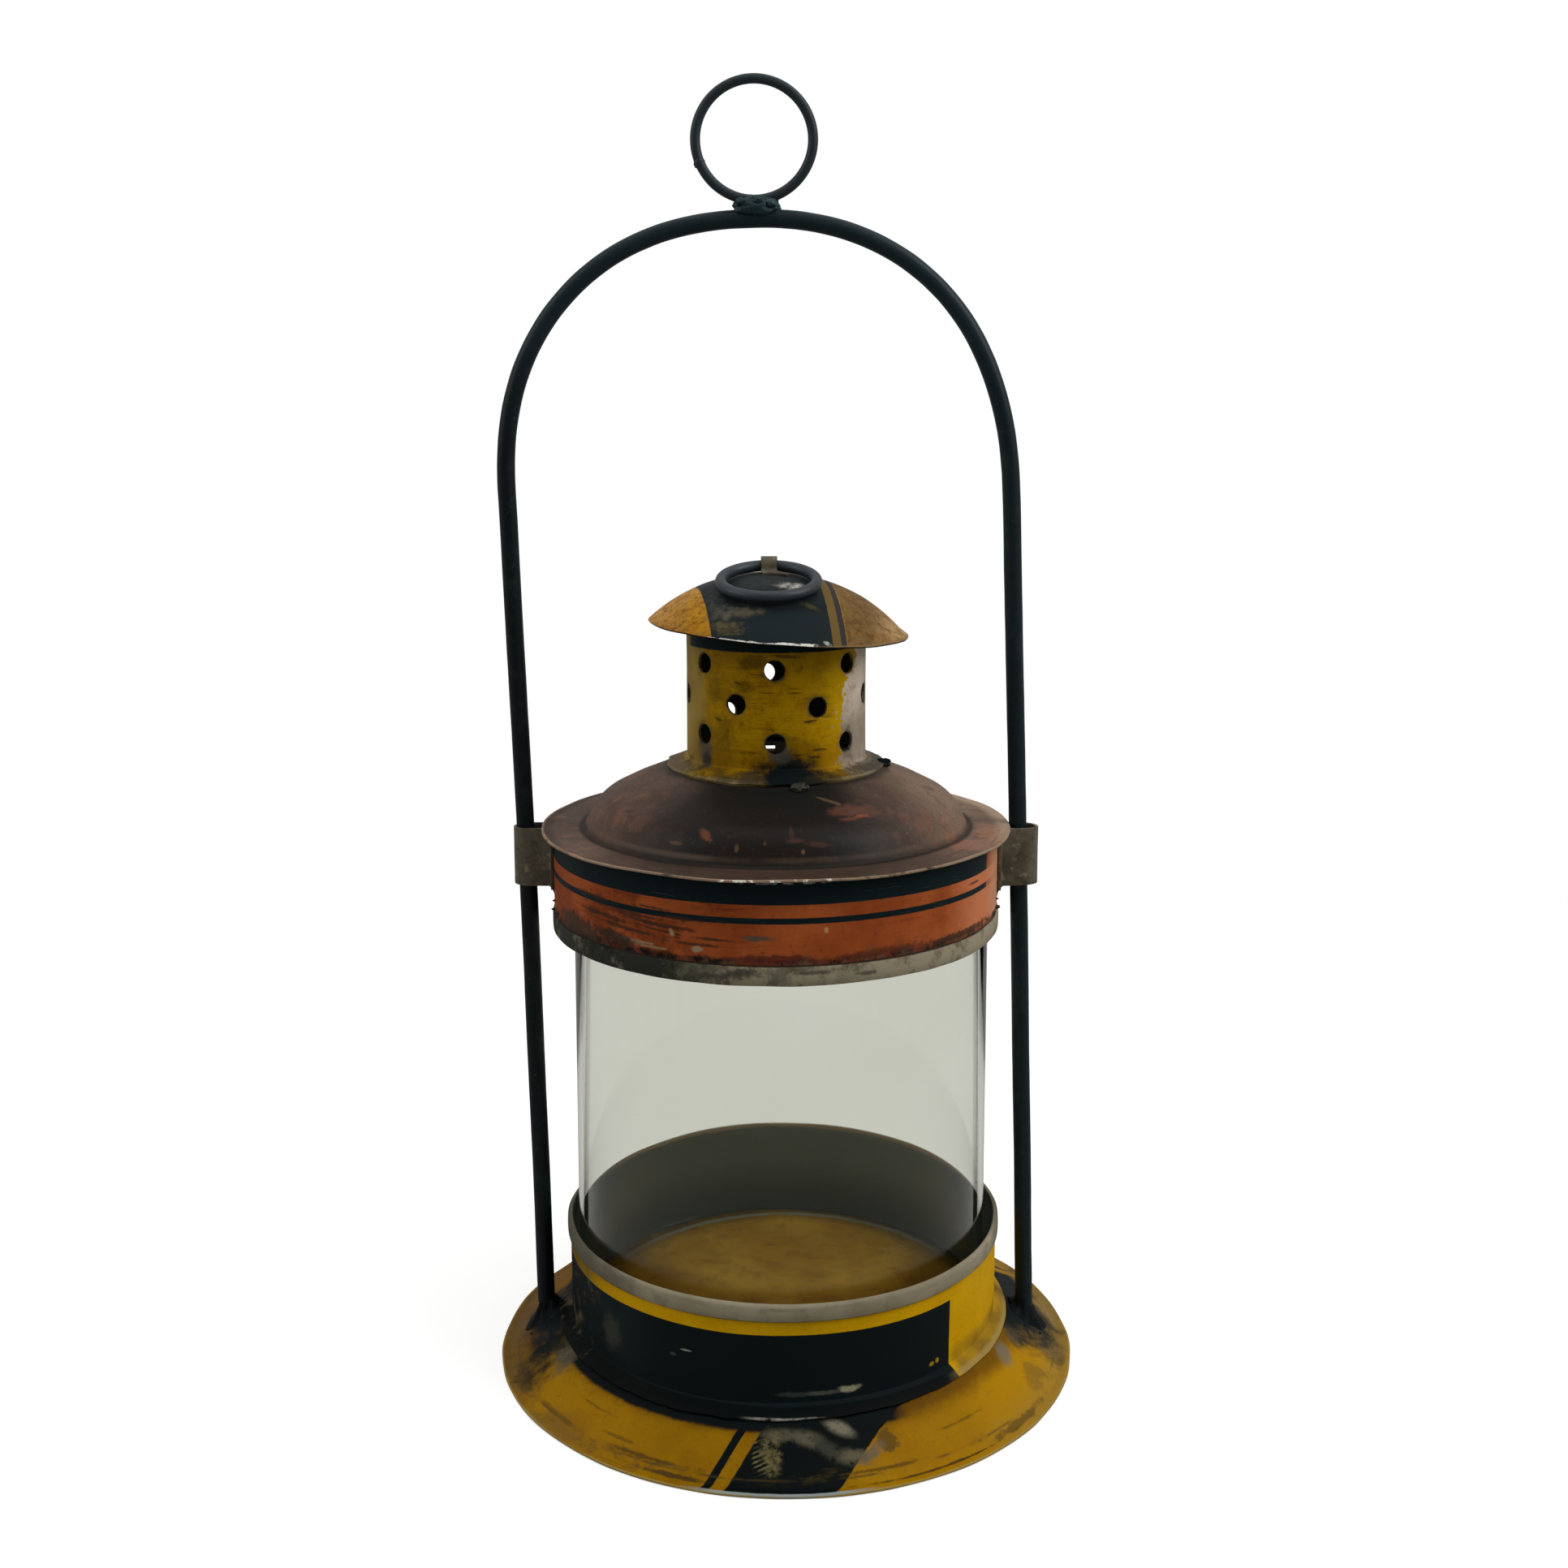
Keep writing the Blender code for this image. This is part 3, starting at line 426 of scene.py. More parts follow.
    coat.over(coat.spot(side, depth, (28.6, -72.6), (3, 2.4), ragged=0.7), colour=ink(44, 33, 15), rough=0.6,
              share=0.7)
    for mid, half, slanted, colour in (
            ((-1.6, -74.4), (5.6, 1.5), 0, ink(50, 47, 35)), ((6.2, -75.2), (4.6, 1.9), 0.12, ink(54, 52, 40)),
            ((12.4, -77.4), (4.8, 2), 0.36, ink(32, 33, 27)), ((19.6, -78), (5, 1.8), -0.08, ink(58, 53, 42)),
            ((25.2, -75.4), (2.6, 1.6), -0.7, ink(66, 58, 45)), ((15, -71.8), (4, 1.7), 0.2, ink(76, 72, 60))):
        bare = coat.spot(side, depth, mid, half, slanted, ragged=0.45, grit=300, soft=0.45)
        coat.over(bare, coat.blots(0.3, 0.56, 300, 5, 0.7), colour=colour, rough=0.45)
    fine = coat.blots(0.28, 0.55, 620, 5, 0.7)
    comb = coat.spot(side, depth, (-4.2, -78.2), (2.9, 4.6), 0.22, ragged=0.4, grit=420, soft=0.35)
    slope = calc(tree, "MULTIPLY_ADD", side, -0.3, coat.ragged(depth, 0.45, 260))
    teeth = coat.rise(calc(tree, "PINGPONG", slope, 0.55), 0.26, 0.4)
    teeth = coat.times(teeth, coat.blots(0.36, 0.52, 240, 4))
    comb = coat.times(comb, coat.blots(0.38, 0.54, 200, 6, 0.7))
    comb = coat.either(comb, coat.times(coat.spot(side, depth, (-6.6, -79.2), (3, 4), 0.25, ragged=0.5), teeth))
    coat.over(comb, fine, colour=ink(66, 60, 37), rough=0.45)

    for mid, half, slanted, colour in (
            ((-66.4, -31), (3.4, 6), -0.5, ink(50, 47, 38)), ((-68.5, -28.4), (2.6, 3.6), 0, ink(62, 58, 45)),
            ((-83, 4), (4, 13), 0, ink(62, 47, 23)), ((66.6, -29.5), (2.6, 4.4), 0.4, ink(74, 69, 55)),
            ((80, -9), (6, 8), 0.3, ink(74, 60, 30)), ((84.5, 10), (3.4, 12), 0, ink(88, 71, 36)),
            ((71, -19), (3, 5), 0.3, ink(50, 45, 33))):
        worn = coat.spot(side, depth, mid, half, slanted, ragged=0.6, grit=150, soft=0.5)
        coat.over(worn, colour=colour, rough=0.5, share=0.85)

    for foot_x, mid_y, size, shade in (
            (-72.5, -8.6, (9.4, 19.6), ink(5, 9, 9)), (75.6, -1.4, (8.8, 18.2), ink(13, 17, 17))):
        burn = coat.spot(side, depth, (foot_x, mid_y), size, ragged=0.6, grit=120, soft=0.5)
        coat.over(burn, colour=shade, rough=0.55)

    inside = coat.rise(reach, 66, 65.2)
    coat.over(inside, colour=ink(86, 66, 14), rough=0.5)
    coat.darken(inside, coat.cloud, colour=tone(222, 208, 184))
    coat.darken(inside, coat.blot, colour=tone(200, 180, 140), share=0.5)
    coat.darken(inside, coat.broad, colour=tone(176, 156, 116), share=0.4)
    # Dirt and painted shade: the floor is darkened towards the foot of the wall.
    rim_dirt_and_shade = coat.times(coat.rise(reach, 52, 63, 3, 90), inside)
    coat.over(rim_dirt_and_shade, colour=ink(28, 21, 4), rough=0.6, share=0.85)
    arcs = coat.rise(object_noise(tree, 1.5, 6, 0.7, at["Lay"]), 0.52, 0.62)
    coat.over(inside, arcs, coat.blots(0.42, 0.6, 50, 4), colour=ink(50, 36, 4), rough=0.6, share=0.5)
    # Painted shade: a dark crescent along the front of the floor, under the collar's front.
    from_back = span(tree, calc(tree, "SUBTRACT", depth, 55), side)
    coat.darken(inside, coat.rise(from_back, 46, 60, 4, 60), colour=tone(176, 162, 124), share=0.85)
    ringed = coat.times(inside, coat.band(reach, 58.6, 60.6, 0.8, 0.5, 90), coat.rise(depth, 24, 46))
    coat.over(ringed, colour=ink(62, 68, 62), rough=0.45, share=0.6)
    scraped = coat.times(inside, coat.blots(0.55, 0.64, 120, 6, 0.72))
    coat.over(scraped, colour=ink(60, 45, 6), rough=0.55, share=0.4)
    return coat.done()


def collar_print():
    """Blue-black panel under a yellow line and a bare folded hem; yellow to the right of the panel. The hem has
    a painted highlight along its top edge and painted shade at its ends.
    """
    coat = Coat("collar_print", ink(148, 114, 0), 0.42)
    at = coat.at
    around, height, reach = at["Around"], coat.ragged(at["Height"], 0.1, 500), at["Reach"]
    panel = coat.times(coat.rise(height, 35.1, 34.85),
                       coat.either(coat.rise(around, 46.8, 46.4), coat.rise(around, 126, 126.5)))
    coat.weather(tone(214, 196, 150), cloud=0.4, drags=0.2, scratches=0.15, specks=0.1, speck=ink(70, 52, 14))
    coat.over(panel, colour=ink(6, 12, 13))
    rub = coat.times(panel, coat.blots(0.45, 0.7, 34, 3), coat.flank(-30, -62, 2))
    coat.over(rub, colour=ink(20, 29, 31), share=0.8)
    low = coat.rise(at["Height"], 21.5, 17, 1.2, 150)
    coat.over(low, coat.band(around, 48, 124, 2), coat.cloud, colour=ink(76, 60, 18), rough=0.55)
    for mid, half, share, colour in (
            ((2, 17.2), (4.6, 0.7), 0.75, ink(36, 41, 37)), ((10.5, 17.3), (4.6, 0.6), 0.85, ink(52, 54, 46)),
            ((15.6, 17.7), (2.6, 0.95), 0.9, ink(104, 102, 82)),
            ((-25.4, 27.5), (1.3, 0.28), 0.9, ink(90, 92, 84)), ((-29, 25.4), (0.9, 0.5), 0.6, ink(46, 54, 54)),
            ((40, 17.9), (0.8, 0.6), 0.9, ink(104, 84, 22)), ((41.9, 18.2), (0.7, 0.8), 0.9, ink(112, 90, 18)),
            ((-50, 24), (3.4, 5), 0.5, ink(46, 46, 38))):
        worn = coat.spot(around, at["Height"], mid, half, ragged=0.5, grit=420, soft=0.45)
        coat.over(worn, colour=colour, rough=0.5, metal=0.1, share=share)

    flange = coat.rise(reach, 67.2, 67.7)
    coat.over(flange, coat.band(around, -100, 43, 2), colour=ink(2, 4, 4), rough=0.55)
    worn = coat.times(coat.rise(reach, 67.6, 68.8), coat.rise(around, 43, 50, 4, 120),
                      coat.rise(around, 100, 84))
    coat.over(worn, colour=ink(102, 86, 46), rough=0.5, share=0.85)
    bright = coat.times(coat.rise(reach, 70.1, 70.6, 0.5, 200), coat.band(around, -8.5, 7.5, 3, 2.5))
    bright = coat.times(bright, coat.blots(0.36, 0.52, 160, 5, 0.7))
    coat.over(bright, colour=ink(98, 96, 88), rough=0.4, share=0.85)
    coat.over(flange, coat.broad, colour=ink(10, 12, 11), rough=0.55, share=0.4)
    left = coat.times(coat.band(around, -112, -58, 6), coat.rise(at["Height"], 42, 34, 3, 120))
    coat.over(left, coat.blot, colour=ink(60, 52, 36), rough=0.6, share=0.7)

    hem = coat.rise(height, 39, 39.15)
    coat.over(hem, colour=ink(100, 95, 80), rough=0.42)
    coat.darken(hem, coat.cloud, colour=tone(214, 210, 200))
    coat.darken(hem, coat.broad, colour=tone(150, 146, 134), share=0.5)
    coat.over(hem, coat.thin, colour=BARE_DARK, rough=0.5, share=0.5)
    # Painted highlight: a lighter line along the top edge of the hem.
    coat.over(coat.rise(height, 43.9, 44.3), coat.blot, colour=ink(116, 112, 98), rough=0.4, share=0.7)
    # Painted shade: the hem is darker at its left and right ends, turned away from the light.
    coat.over(hem, coat.flank(-28, -62, 8, 120), colour=ink(46, 45, 37), rough=0.5, share=0.85)
    coat.over(hem, coat.flank(62, 84, 8, 120), colour=ink(60, 56, 44), rough=0.5, share=0.75)
    coat.over(hem, coat.blot, colour=ink(62, 58, 48), rough=0.55, share=0.45)
    coat.over(coat.band(height, 38.85, 39.2, 0.1), colour=ink(44, 38, 22), rough=0.6, share=0.8)
    return coat.done()


def inside_tin(name, colour, dark, rough=0.55, far=None):
    """Bare unprinted side of the sheet, dulled and stained. Given a far colour, the far side has painted light
    and the left side painted shade.
    """
    coat = Coat(name, colour, rough)
    coat.weather(tone(190, 184, 172), drags=0.3, scratches=0.1, specks=0.1, speck=dark)
    coat.over(coat.blot, colour=dark, rough=0.65, share=0.3)
    if far is not None:
        # Painted light: the far side of the wall, seen through the glass, is painted lighter.
        back = coat.rise(calc(coat.tree, "ABSOLUTE", coat.ragged(coat.at["Around"], 8, 60)), 104, 132)
        coat.over(back, colour=far)
        # Painted shade: the wall is darkened towards its left side.
        coat.darken(coat.rise(coat.at["Side"], 16, -50), colour=tone(222, 222, 220), share=0.8)
        coat.darken(coat.rise(coat.at["Height"], 36, 17, 2, 120), colour=tone(178, 190, 188))
        hem = coat.rise(coat.at["Height"], 42.9, 43.5, 0.7, 200)
        coat.over(back, hem, colour=ink(74, 62, 46), rough=0.5, share=0.8)
    return coat.done(bump=0)


# Finishes of the hood
def band_print():
    """Orange print with a blue-black top stripe and a thin line, rubbed and rusted, over a bare hem; painted
    shade on the left, painted light towards the right end, and painted light and shade on the hem.
    """
    coat = Coat("band_print", ink(124, 62, 29), 0.45, axis=HOOD_AXIS)
    at, tree = coat.at, coat.tree
    around, raw = at["Around"], at["Height"]
    height = coat.ragged(raw, 0.1, 500)
    left = coat.flank(4, -58, 9)
    coat.weather(tone(176, 150, 132), cloud=0.7, drags=0.6, scratches=0.4, specks=0.3, speck=MAROON)
    streaks = coat.times(coat.broad, coat.rise(raw, 155.5, 150, 2, 90))
    coat.over(streaks, coat.part(left, 0.9), colour=ink(34, 21, 15), rough=0.55)
    # Painted shade: the whole left side is a little darker.
    coat.darken(left, colour=tone(180, 168, 160), share=0.25)
    lines = coat.rise(object_noise(tree, 1, 4, 0.55, at["Lay"]), 0.56, 0.66)
    coat.over(lines, coat.part(coat.flank(12, -30, 2), 0.6), coat.blots(0.46, 0.6, 60, 3),
              colour=ink(32, 22, 16), rough=0.55)
    stripes = coat.either(coat.rise(height, 159.65, 159.9), coat.band(height, 154.4, 156.1, 0.12))
    printed = coat.either(coat.rise(around, 66.2, 65.8), coat.rise(around, 104, 104.4))
    coat.over(stripes, printed, colour=NAVY)
    coat.over(stripes, printed, coat.rise(calc(tree, "ABSOLUTE", around), 24, 62), coat.cloud,
              colour=ink(13, 21, 22))
    coat.over(stripes, printed, coat.thin, colour=ink(52, 54, 52), rough=0.5, share=0.5)
    # Painted light: the orange is paler towards the right end, where the light falls.
    coat.over(coat.rise(around, 44, 60, 4, 120), coat.rise(around, 104, 100), coat.rise(stripes, 1, 0),
              colour=ink(138, 83, 54), rough=0.5, share=0.75)
    lit_right_end = coat.times(coat.rise(around, 64, 73, 3, 200), coat.rise(around, 104, 100))
    coat.over(lit_right_end, colour=ink(128, 92, 70), rough=0.5, share=0.75)

    stain = coat.times(coat.rise(raw, 149.5, 144.6, 3.2, 140), coat.blot)
    coat.over(stain, colour=ink(66, 42, 28), rough=0.6, share=0.8)
    low = coat.rise(raw, 145.2, 143.6, 1.9, 230)
    coat.over(low, colour=MAROON, rough=0.55, share=0.75)
    coat.over(low, coat.blots(0.47, 0.55, 170, 6, 0.7), colour=ink(18, 14, 12), rough=0.6)
    coat.over(low, coat.blot, colour=ink(72, 52, 38), rough=0.6, share=0.7)
    worn = coat.times(coat.band(around, -58, -14, 12, 8, 80), coat.blots(0.44, 0.6, 70, 6, 0.7))
    coat.darken(worn, coat.rise(stripes, 1, 0), colour=tone(150, 132, 120), share=0.6)
    for mid, half, slanted in (
            ((-36, 153.8), (10, 0.5), 0.04), ((-27, 152), (9, 0.55), 0.05), ((-22, 154.6), (5, 0.5), 0.04),
            ((-46, 151.4), (9, 0.6), 0.05), ((-15, 149.6), (6, 0.35), 0.03), ((-38, 149.2), (8, 0.5), 0.06),
            ((-30, 156.6), (4, 0.35), 0.05), ((-20, 147.8), (7, 0.4), 0.02), ((-52, 156), (6, 0.5), 0.05)):
        mark = coat.spot(around, raw, mid, half, slanted, ragged=0.95, grit=330, soft=0.5)
        coat.over(mark, colour=ink(34, 23, 17), rough=0.6, share=0.8)
    for mid, half, slanted, share, colour in (
            ((-4, 150.4), (3.6, 0.75), 0, 0.9, ink(52, 46, 38)),
            ((-18.7, 146.5), (1.5, 0.8), 0, 0.9, ink(98, 88, 68)),
            ((-33, 152.4), (8, 0.3), 0.13, 0.9, ink(40, 26, 20)),
            ((-29, 150.6), (6.5, 0.3), 0.1, 0.8, ink(38, 24, 18)),
            ((-25, 150.4), (0.7, 1.1), 0.5, 0.8, ink(104, 88, 66)),
            ((-36, 146.2), (6, 0.4), 0, 0.8, ink(98, 82, 62)),
            ((-31, 145.4), (5, 0.35), 0, 0.8, ink(92, 78, 60)),
            ((12, 152.6), (0.5, 0.8), 0, 0.8, ink(126, 96, 66)),
            ((-42, 145.8), (6.5, 1.7), 0.1, 0.9, ink(30, 24, 18)),
            ((-58, 145.4), (9, 3.2), 0.05, 0.85, ink(32, 28, 22)),
            ((26, 144.9), (12, 1), -0.03, 0.7, ink(52, 24, 16)),
            ((52, 144.6), (14, 0.9), -0.02, 0.85, ink(34, 24, 18)),
            ((58, 157.9), (2.6, 0.35), 0, 0.8, ink(44, 28, 20)),
            ((-1, 144.6), (9, 1.2), 0, 0.8, ink(46, 20, 18))):
        mark = coat.spot(around, raw, mid, half, slanted, ragged=0.6, grit=420, soft=0.35)
        coat.over(mark, colour=colour, rough=0.55, share=share)
    chips = coat.times(coat.rise(raw, 165.4, 166.2), coat.band(around, -12, 12, 2, 4, 300),
                       coat.blots(0.5, 0.56, 300, 5, 0.7))
    coat.over(chips, colour=ink(150, 148, 140), rough=0.4, metal=0.2)

    hem = coat.rise(height, 142.75, 142.5)
    # Painted light and shade: the hem is lit pale grey from the front round to the right, and dark in shade on
    # the left and at the back.
    light = coat.flank(-28, -4, 16, 90)
    coat.over(hem, colour=mix_colour(tree, light, ink(27, 28, 23), ink(97, 91, 75)), rough=0.45)
    coat.over(hem, coat.blots(0.52, 0.6, 90, 7, 0.7), coat.flank(30, -10, 2), colour=ink(30, 30, 24),
              rough=0.55, share=0.7)
    coat.over(hem, coat.blots(0.53, 0.6, 120, 6, 0.7), coat.flank(20, -10, 2), colour=ink(74, 70, 57),
              rough=0.5, share=0.55)
    coat.darken(hem, coat.blot, colour=tone(136, 130, 116), share=0.7)
    coat.over(hem, coat.thin, colour=BARE_DARK, share=0.5)
    for mid, half in (
            ((-7, 140.6), (4, 1.2)), ((-14, 139.4), (3.4, 0.9)), ((9, 140.8), (3, 0.6)),
            ((22, 139.6), (2.2, 0.5))):
        soot = coat.spot(around, raw, mid, half, ragged=0.8, grit=260, soft=0.5)
        coat.over(soot, colour=ink(40, 38, 32), rough=0.6, share=0.75)
    coat.over(coat.band(height, 142.4, 142.9, 0.12), colour=ink(30, 22, 18), rough=0.6, share=0.9)
    return coat.done()


def dome_rust():
    """Brown rusted sheet, dark at the front with soot and painted shade, with paint left in places and a worn
    brim; painted light on the right side, a painted highlight on the step's ridge and painted shade in the
    crease below it.
    """
    coat = Coat("dome_rust", ink(74, 59, 50), 0.5, axis=HOOD_AXIS)
    at, tree = coat.at, coat.tree
    side, depth, reach, around = at["Side"], at["Depth"], at["Reach"], at["Around"]
    height = at["Height"]
    # Painted light: the right side of the dome is lighter.
    coat.over(coat.flank(40, 84, 10), colour=ink(98, 80, 66))
    coat.weather(tone(186, 172, 164), cloud=0.7, grain=0.9, drags=0.25, scratches=0.15, specks=0.25,
                 speck=ink(92, 70, 56))
    coat.over(coat.blot, colour=ink(44, 31, 24), rough=0.6, share=0.5)
    coat.over(coat.blots(0.54, 0.64, 95, 6, 0.7), colour=ink(84, 54, 40), rough=0.55, share=0.45)
    # Soot and painted shade: the front of the cone and of the brim are darkened.
    front = coat.rise(calc(tree, "ABSOLUTE", calc(tree, "ADD", coat.ragged(around, 12, 40), 2)), 62, 22)
    cone = coat.rise(reach, 62, 58)
    coat.over(front, cone, colour=ink(6, 5, 4), rough=0.42, share=0.95)
    coat.over(front, coat.rise(reach, 58, 62), colour=ink(26, 20, 14), share=0.72)
    coat.over(front, coat.blots(0.57, 0.72, 620, 4, 0.7), colour=ink(40, 32, 27), rough=0.5, share=0.35)
    soot = coat.spot(side, depth, (4, -37.5), (15, 7), ragged=0.4, grit=90, soft=0.7)
    coat.over(soot, colour=ink(9, 10, 10), rough=0.5)
    coat.over(coat.rise(reach, 36, 33.6, 1, 120), colour=ink(22, 19, 16), share=0.8)
    for mid, half, slanted, share, colour in (
            ((20.2, -41.4), (4.4, 2.6), -0.3, 0.7, ink(60, 35, 24)),
            ((15.4, -38.6), (3.6, 0.7), 0.3, 0.6, ink(64, 50, 31)),
            ((26.2, -39.6), (4.2, 2.6), -0.4, 0.7, ink(58, 35, 25)),
            ((21.6, -44.6), (3, 0.9), -0.4, 0.7, ink(66, 34, 22)),
            ((24, -42.6), (2, 0.8), -0.5, 0.8, ink(82, 42, 26)), ((56, -30), (6, 8), 0, 0.4, ink(104, 66, 48)),
            ((64, -14), (4, 10), 0, 0.45, ink(112, 72, 50))):
        left = coat.spot(side, depth, mid, half, slanted, ragged=0.7, grit=240, soft=0.4)
        coat.over(left, colour=colour, rough=0.5, share=share)
    for mid, half, slanted, share, colour in (
            ((-21.1, 175.4), (2, 1), 0.4, 0.9, ink(66, 35, 21)),
            ((-11, 172.6), (0.6, 1), 0, 0.65, ink(62, 46, 33)),
            ((4.9, 176.4), (0.7, 1.3), 0, 0.4, ink(48, 27, 20)),
            ((5.8, 174.6), (2.2, 0.5), 0, 0.6, ink(50, 29, 22)),
            ((7.9, 171.8), (0.5, 0.6), 0, 0.65, ink(76, 56, 42)),
            ((-3, 174), (0.5, 0.5), 0, 0.7, ink(52, 38, 28)),
            ((13, 173.4), (3.4, 0.7), 0.1, 0.5, ink(48, 28, 20)),
            ((-30, 172.6), (2, 0.5), 0, 0.5, ink(70, 48, 36))):
        left = coat.spot(around, height, mid, half, slanted, ragged=0.6, grit=300, soft=0.4)
        coat.over(left, colour=colour, rough=0.5, share=share)

    # Painted highlight: a lighter band along the ridge above the crease.
    ridge_highlight = coat.band(height, 168.9, 170.3, 0.5, 0.5, 120)
    coat.over(ridge_highlight, coat.cloud, colour=ink(84, 68, 56), rough=0.5, share=0.3)
    # Painted shade: a dark line in the crease between the step and the brim.
    crease_shade = coat.band(reach, 58.2, 60.2, 0.7, 0.4)
    coat.over(crease_shade, colour=ink(17, 13, 10), rough=0.65, share=0.85)
    brim = coat.rise(reach, 59.6, 62)
    # Painted shade on the left of the brim's edge, and painted light on its right.
    coat.darken(coat.rise(reach, 67, 70), coat.flank(-48, -74, 2), colour=tone(190, 184, 172), share=0.9)
    coat.over(coat.rise(reach, 66, 69.5, 1, 120), coat.flank(62, 84, 6), colour=ink(118, 101, 84), rough=0.5,
              share=0.6)
    coat.over(brim, coat.broad, colour=ink(46, 34, 27), rough=0.6, share=0.6)
    coat.over(brim, coat.thin, colour=ink(96, 78, 64), rough=0.5, share=0.5)
    # Wear and painted highlight: a lighter tan line along the rim's edge.
    rim = coat.times(coat.rise(reach, 70.5, 71.2, 0.6, 240), coat.blots(0.34, 0.5, 130, 5, 0.7))
    coat.over(rim, colour=ink(100, 84, 68), rough=0.45, share=0.8)
    chip = coat.times(coat.rise(reach, 70.9, 71.3), coat.band(around, -12, 13, 1, 3, 300),
                      coat.blots(0.5, 0.56, 300, 5, 0.7))
    coat.over(chip, colour=ink(158, 155, 146), rough=0.4)
    return coat.done(shine=0.15)


def chimney_print():
    """Yellow print on the chimney: tan at the left, bare at the right, burnt at the vents, sooty below; painted
    light on the right side, and dirt with painted shade on the left.
    """
    coat = Coat("chimney_print", ink(126, 97, 0), 0.45, axis=HOOD_AXIS)
    at, tree = coat.at, coat.tree
    around, height, reach = at["Around"], at["Height"], at["Reach"]
    coat.weather(tone(196, 170, 112), cloud=0.5, drags=0.6, scratches=0.7, specks=0.5, speck=ink(46, 34, 10))
    coat.over(coat.broad, coat.blots(0.42, 0.6, 80, 4), colour=ink(66, 48, 2), rough=0.5, share=0.6)
    for mid, half, share in (
            ((-15, 220.6), (7, 2.2), 0.7), ((-41, 211.6), (6, 4), 0.5), ((-22, 213.6), (6, 1.6), 0.5),
            ((-34, 199.4), (7, 4), 0.5), ((8, 196), (14, 3), 0.4), ((32, 219), (8, 1.2), 0.4)):
        smoke = coat.spot(around, height, mid, half, ragged=0.9, grit=170, soft=0.6)
        coat.over(smoke, colour=ink(50, 36, 3), rough=0.55, share=share)
    lines = coat.rise(object_noise(tree, 1.3, 5, 0.6, at["Lay"]), 0.55, 0.64)
    coat.over(lines, coat.blots(0.45, 0.6, 110, 4), colour=ink(52, 38, 2), rough=0.55, share=0.55)
    coat.darken(coat.blots(0.44, 0.66, 250, 7, 0.75), colour=tone(196, 172, 112), share=0.6)
    # Painted light: the yellow is brighter on the right side.
    coat.over(coat.flank(18, 46), colour=ink(140, 109, 0), share=0.5)
    coat.darken(coat.rise(height, 201, 191, 3, 90), colour=tone(202, 192, 160), share=0.7)
    # Dirt and painted shade: the left side is darker and clouded.
    rubbed = coat.times(coat.flank(-14, -40), coat.cloud)
    coat.over(rubbed, colour=ink(78, 58, 6), share=0.6)
    tan = coat.times(coat.rise(around, -47, -54, 5, 150), coat.rise(around, -176, -150))
    coat.over(tan, colour=ink(102, 84, 36), rough=0.48)
    coat.darken(tan, coat.cloud, colour=tone(196, 180, 140), share=0.8)
    edge = calc(tree, "MULTIPLY_ADD", height, -0.25, coat.ragged(coat.ragged(around, 9, 130), 6, 520))
    edge = calc(tree, "MULTIPLY_ADD", coat.rise(height, 215.6, 217.6), -8, edge)
    bare = coat.rise(edge, -4.6, -4)
    bare = coat.either(bare, coat.times(coat.rise(edge, -11, -5), coat.blots(0.6, 0.64, 520, 5, 0.7)))
    bare = coat.times(bare, coat.blots(0.66, 0.61, 380, 6, 0.7), coat.rise(around, 118, 114))
    coat.over(bare, colour=ink(106, 97, 86), rough=0.45)
    coat.over(bare, coat.rise(height, 198, 212, 3, 120), colour=ink(146, 137, 123))
    coat.darken(bare, coat.cloud, colour=tone(214, 206, 196))
    coat.darken(bare, coat.blot, colour=tone(170, 160, 148), share=0.5)
    top = coat.times(coat.rise(height, 223.2, 223.7, 0.3, 300), coat.band(around, -70, 54, 3))
    coat.over(top, colour=NAVY, rough=0.45)

    rings = [((degrees(turn) + 270) % 360 - 180, high)
             for row in range(len(VENT_ROWS))
             for turn, high in vent_places(row)]
    for mid in rings:
        halo = coat.spot(around, height, mid, (8.2, 3.9), ragged=0.5, grit=330, soft=0.4)
        halo = coat.times(halo, coat.blots(0.36, 0.6, 140, 3))
        coat.over(halo, colour=ink(54, 44, 16), rough=0.55, share=0.6)
        lip = coat.spot(around, height, mid, (6.8, 3.2), ragged=0.15, grit=420, soft=0.1)
        coat.over(lip, colour=ink(34, 33, 29), rough=0.5, share=0.85)

    for mid, half, slanted, share in (
            ((-38, 203.2), (3.4, 0.35), 0.12, 0.8), ((22, 203.2), (4.4, 0.4), -0.05, 0.9),
            ((34, 204.2), (4, 0.3), 0, 0.6), ((-24, 214.4), (3, 0.25), 0.1, 0.7),
            ((12, 211.6), (4.4, 0.25), 0, 0.6), ((-6, 211.8), (5, 0.25), 0.02, 0.6),
            ((28, 194.6), (5, 0.4), 0, 0.8), ((24, 192.6), (4, 0.5), 0.02, 0.9),
            ((14, 193.4), (4, 0.3), 0, 0.7), ((-10, 217), (6, 0.3), 0.03, 0.5),
            ((6, 222.4), (6, 0.5), 0.05, 0.7)):
        mark = coat.spot(around, height, mid, half, slanted, ragged=0.6, grit=600, soft=0.4)
        coat.over(mark, colour=ink(38, 29, 8), rough=0.6, share=share)

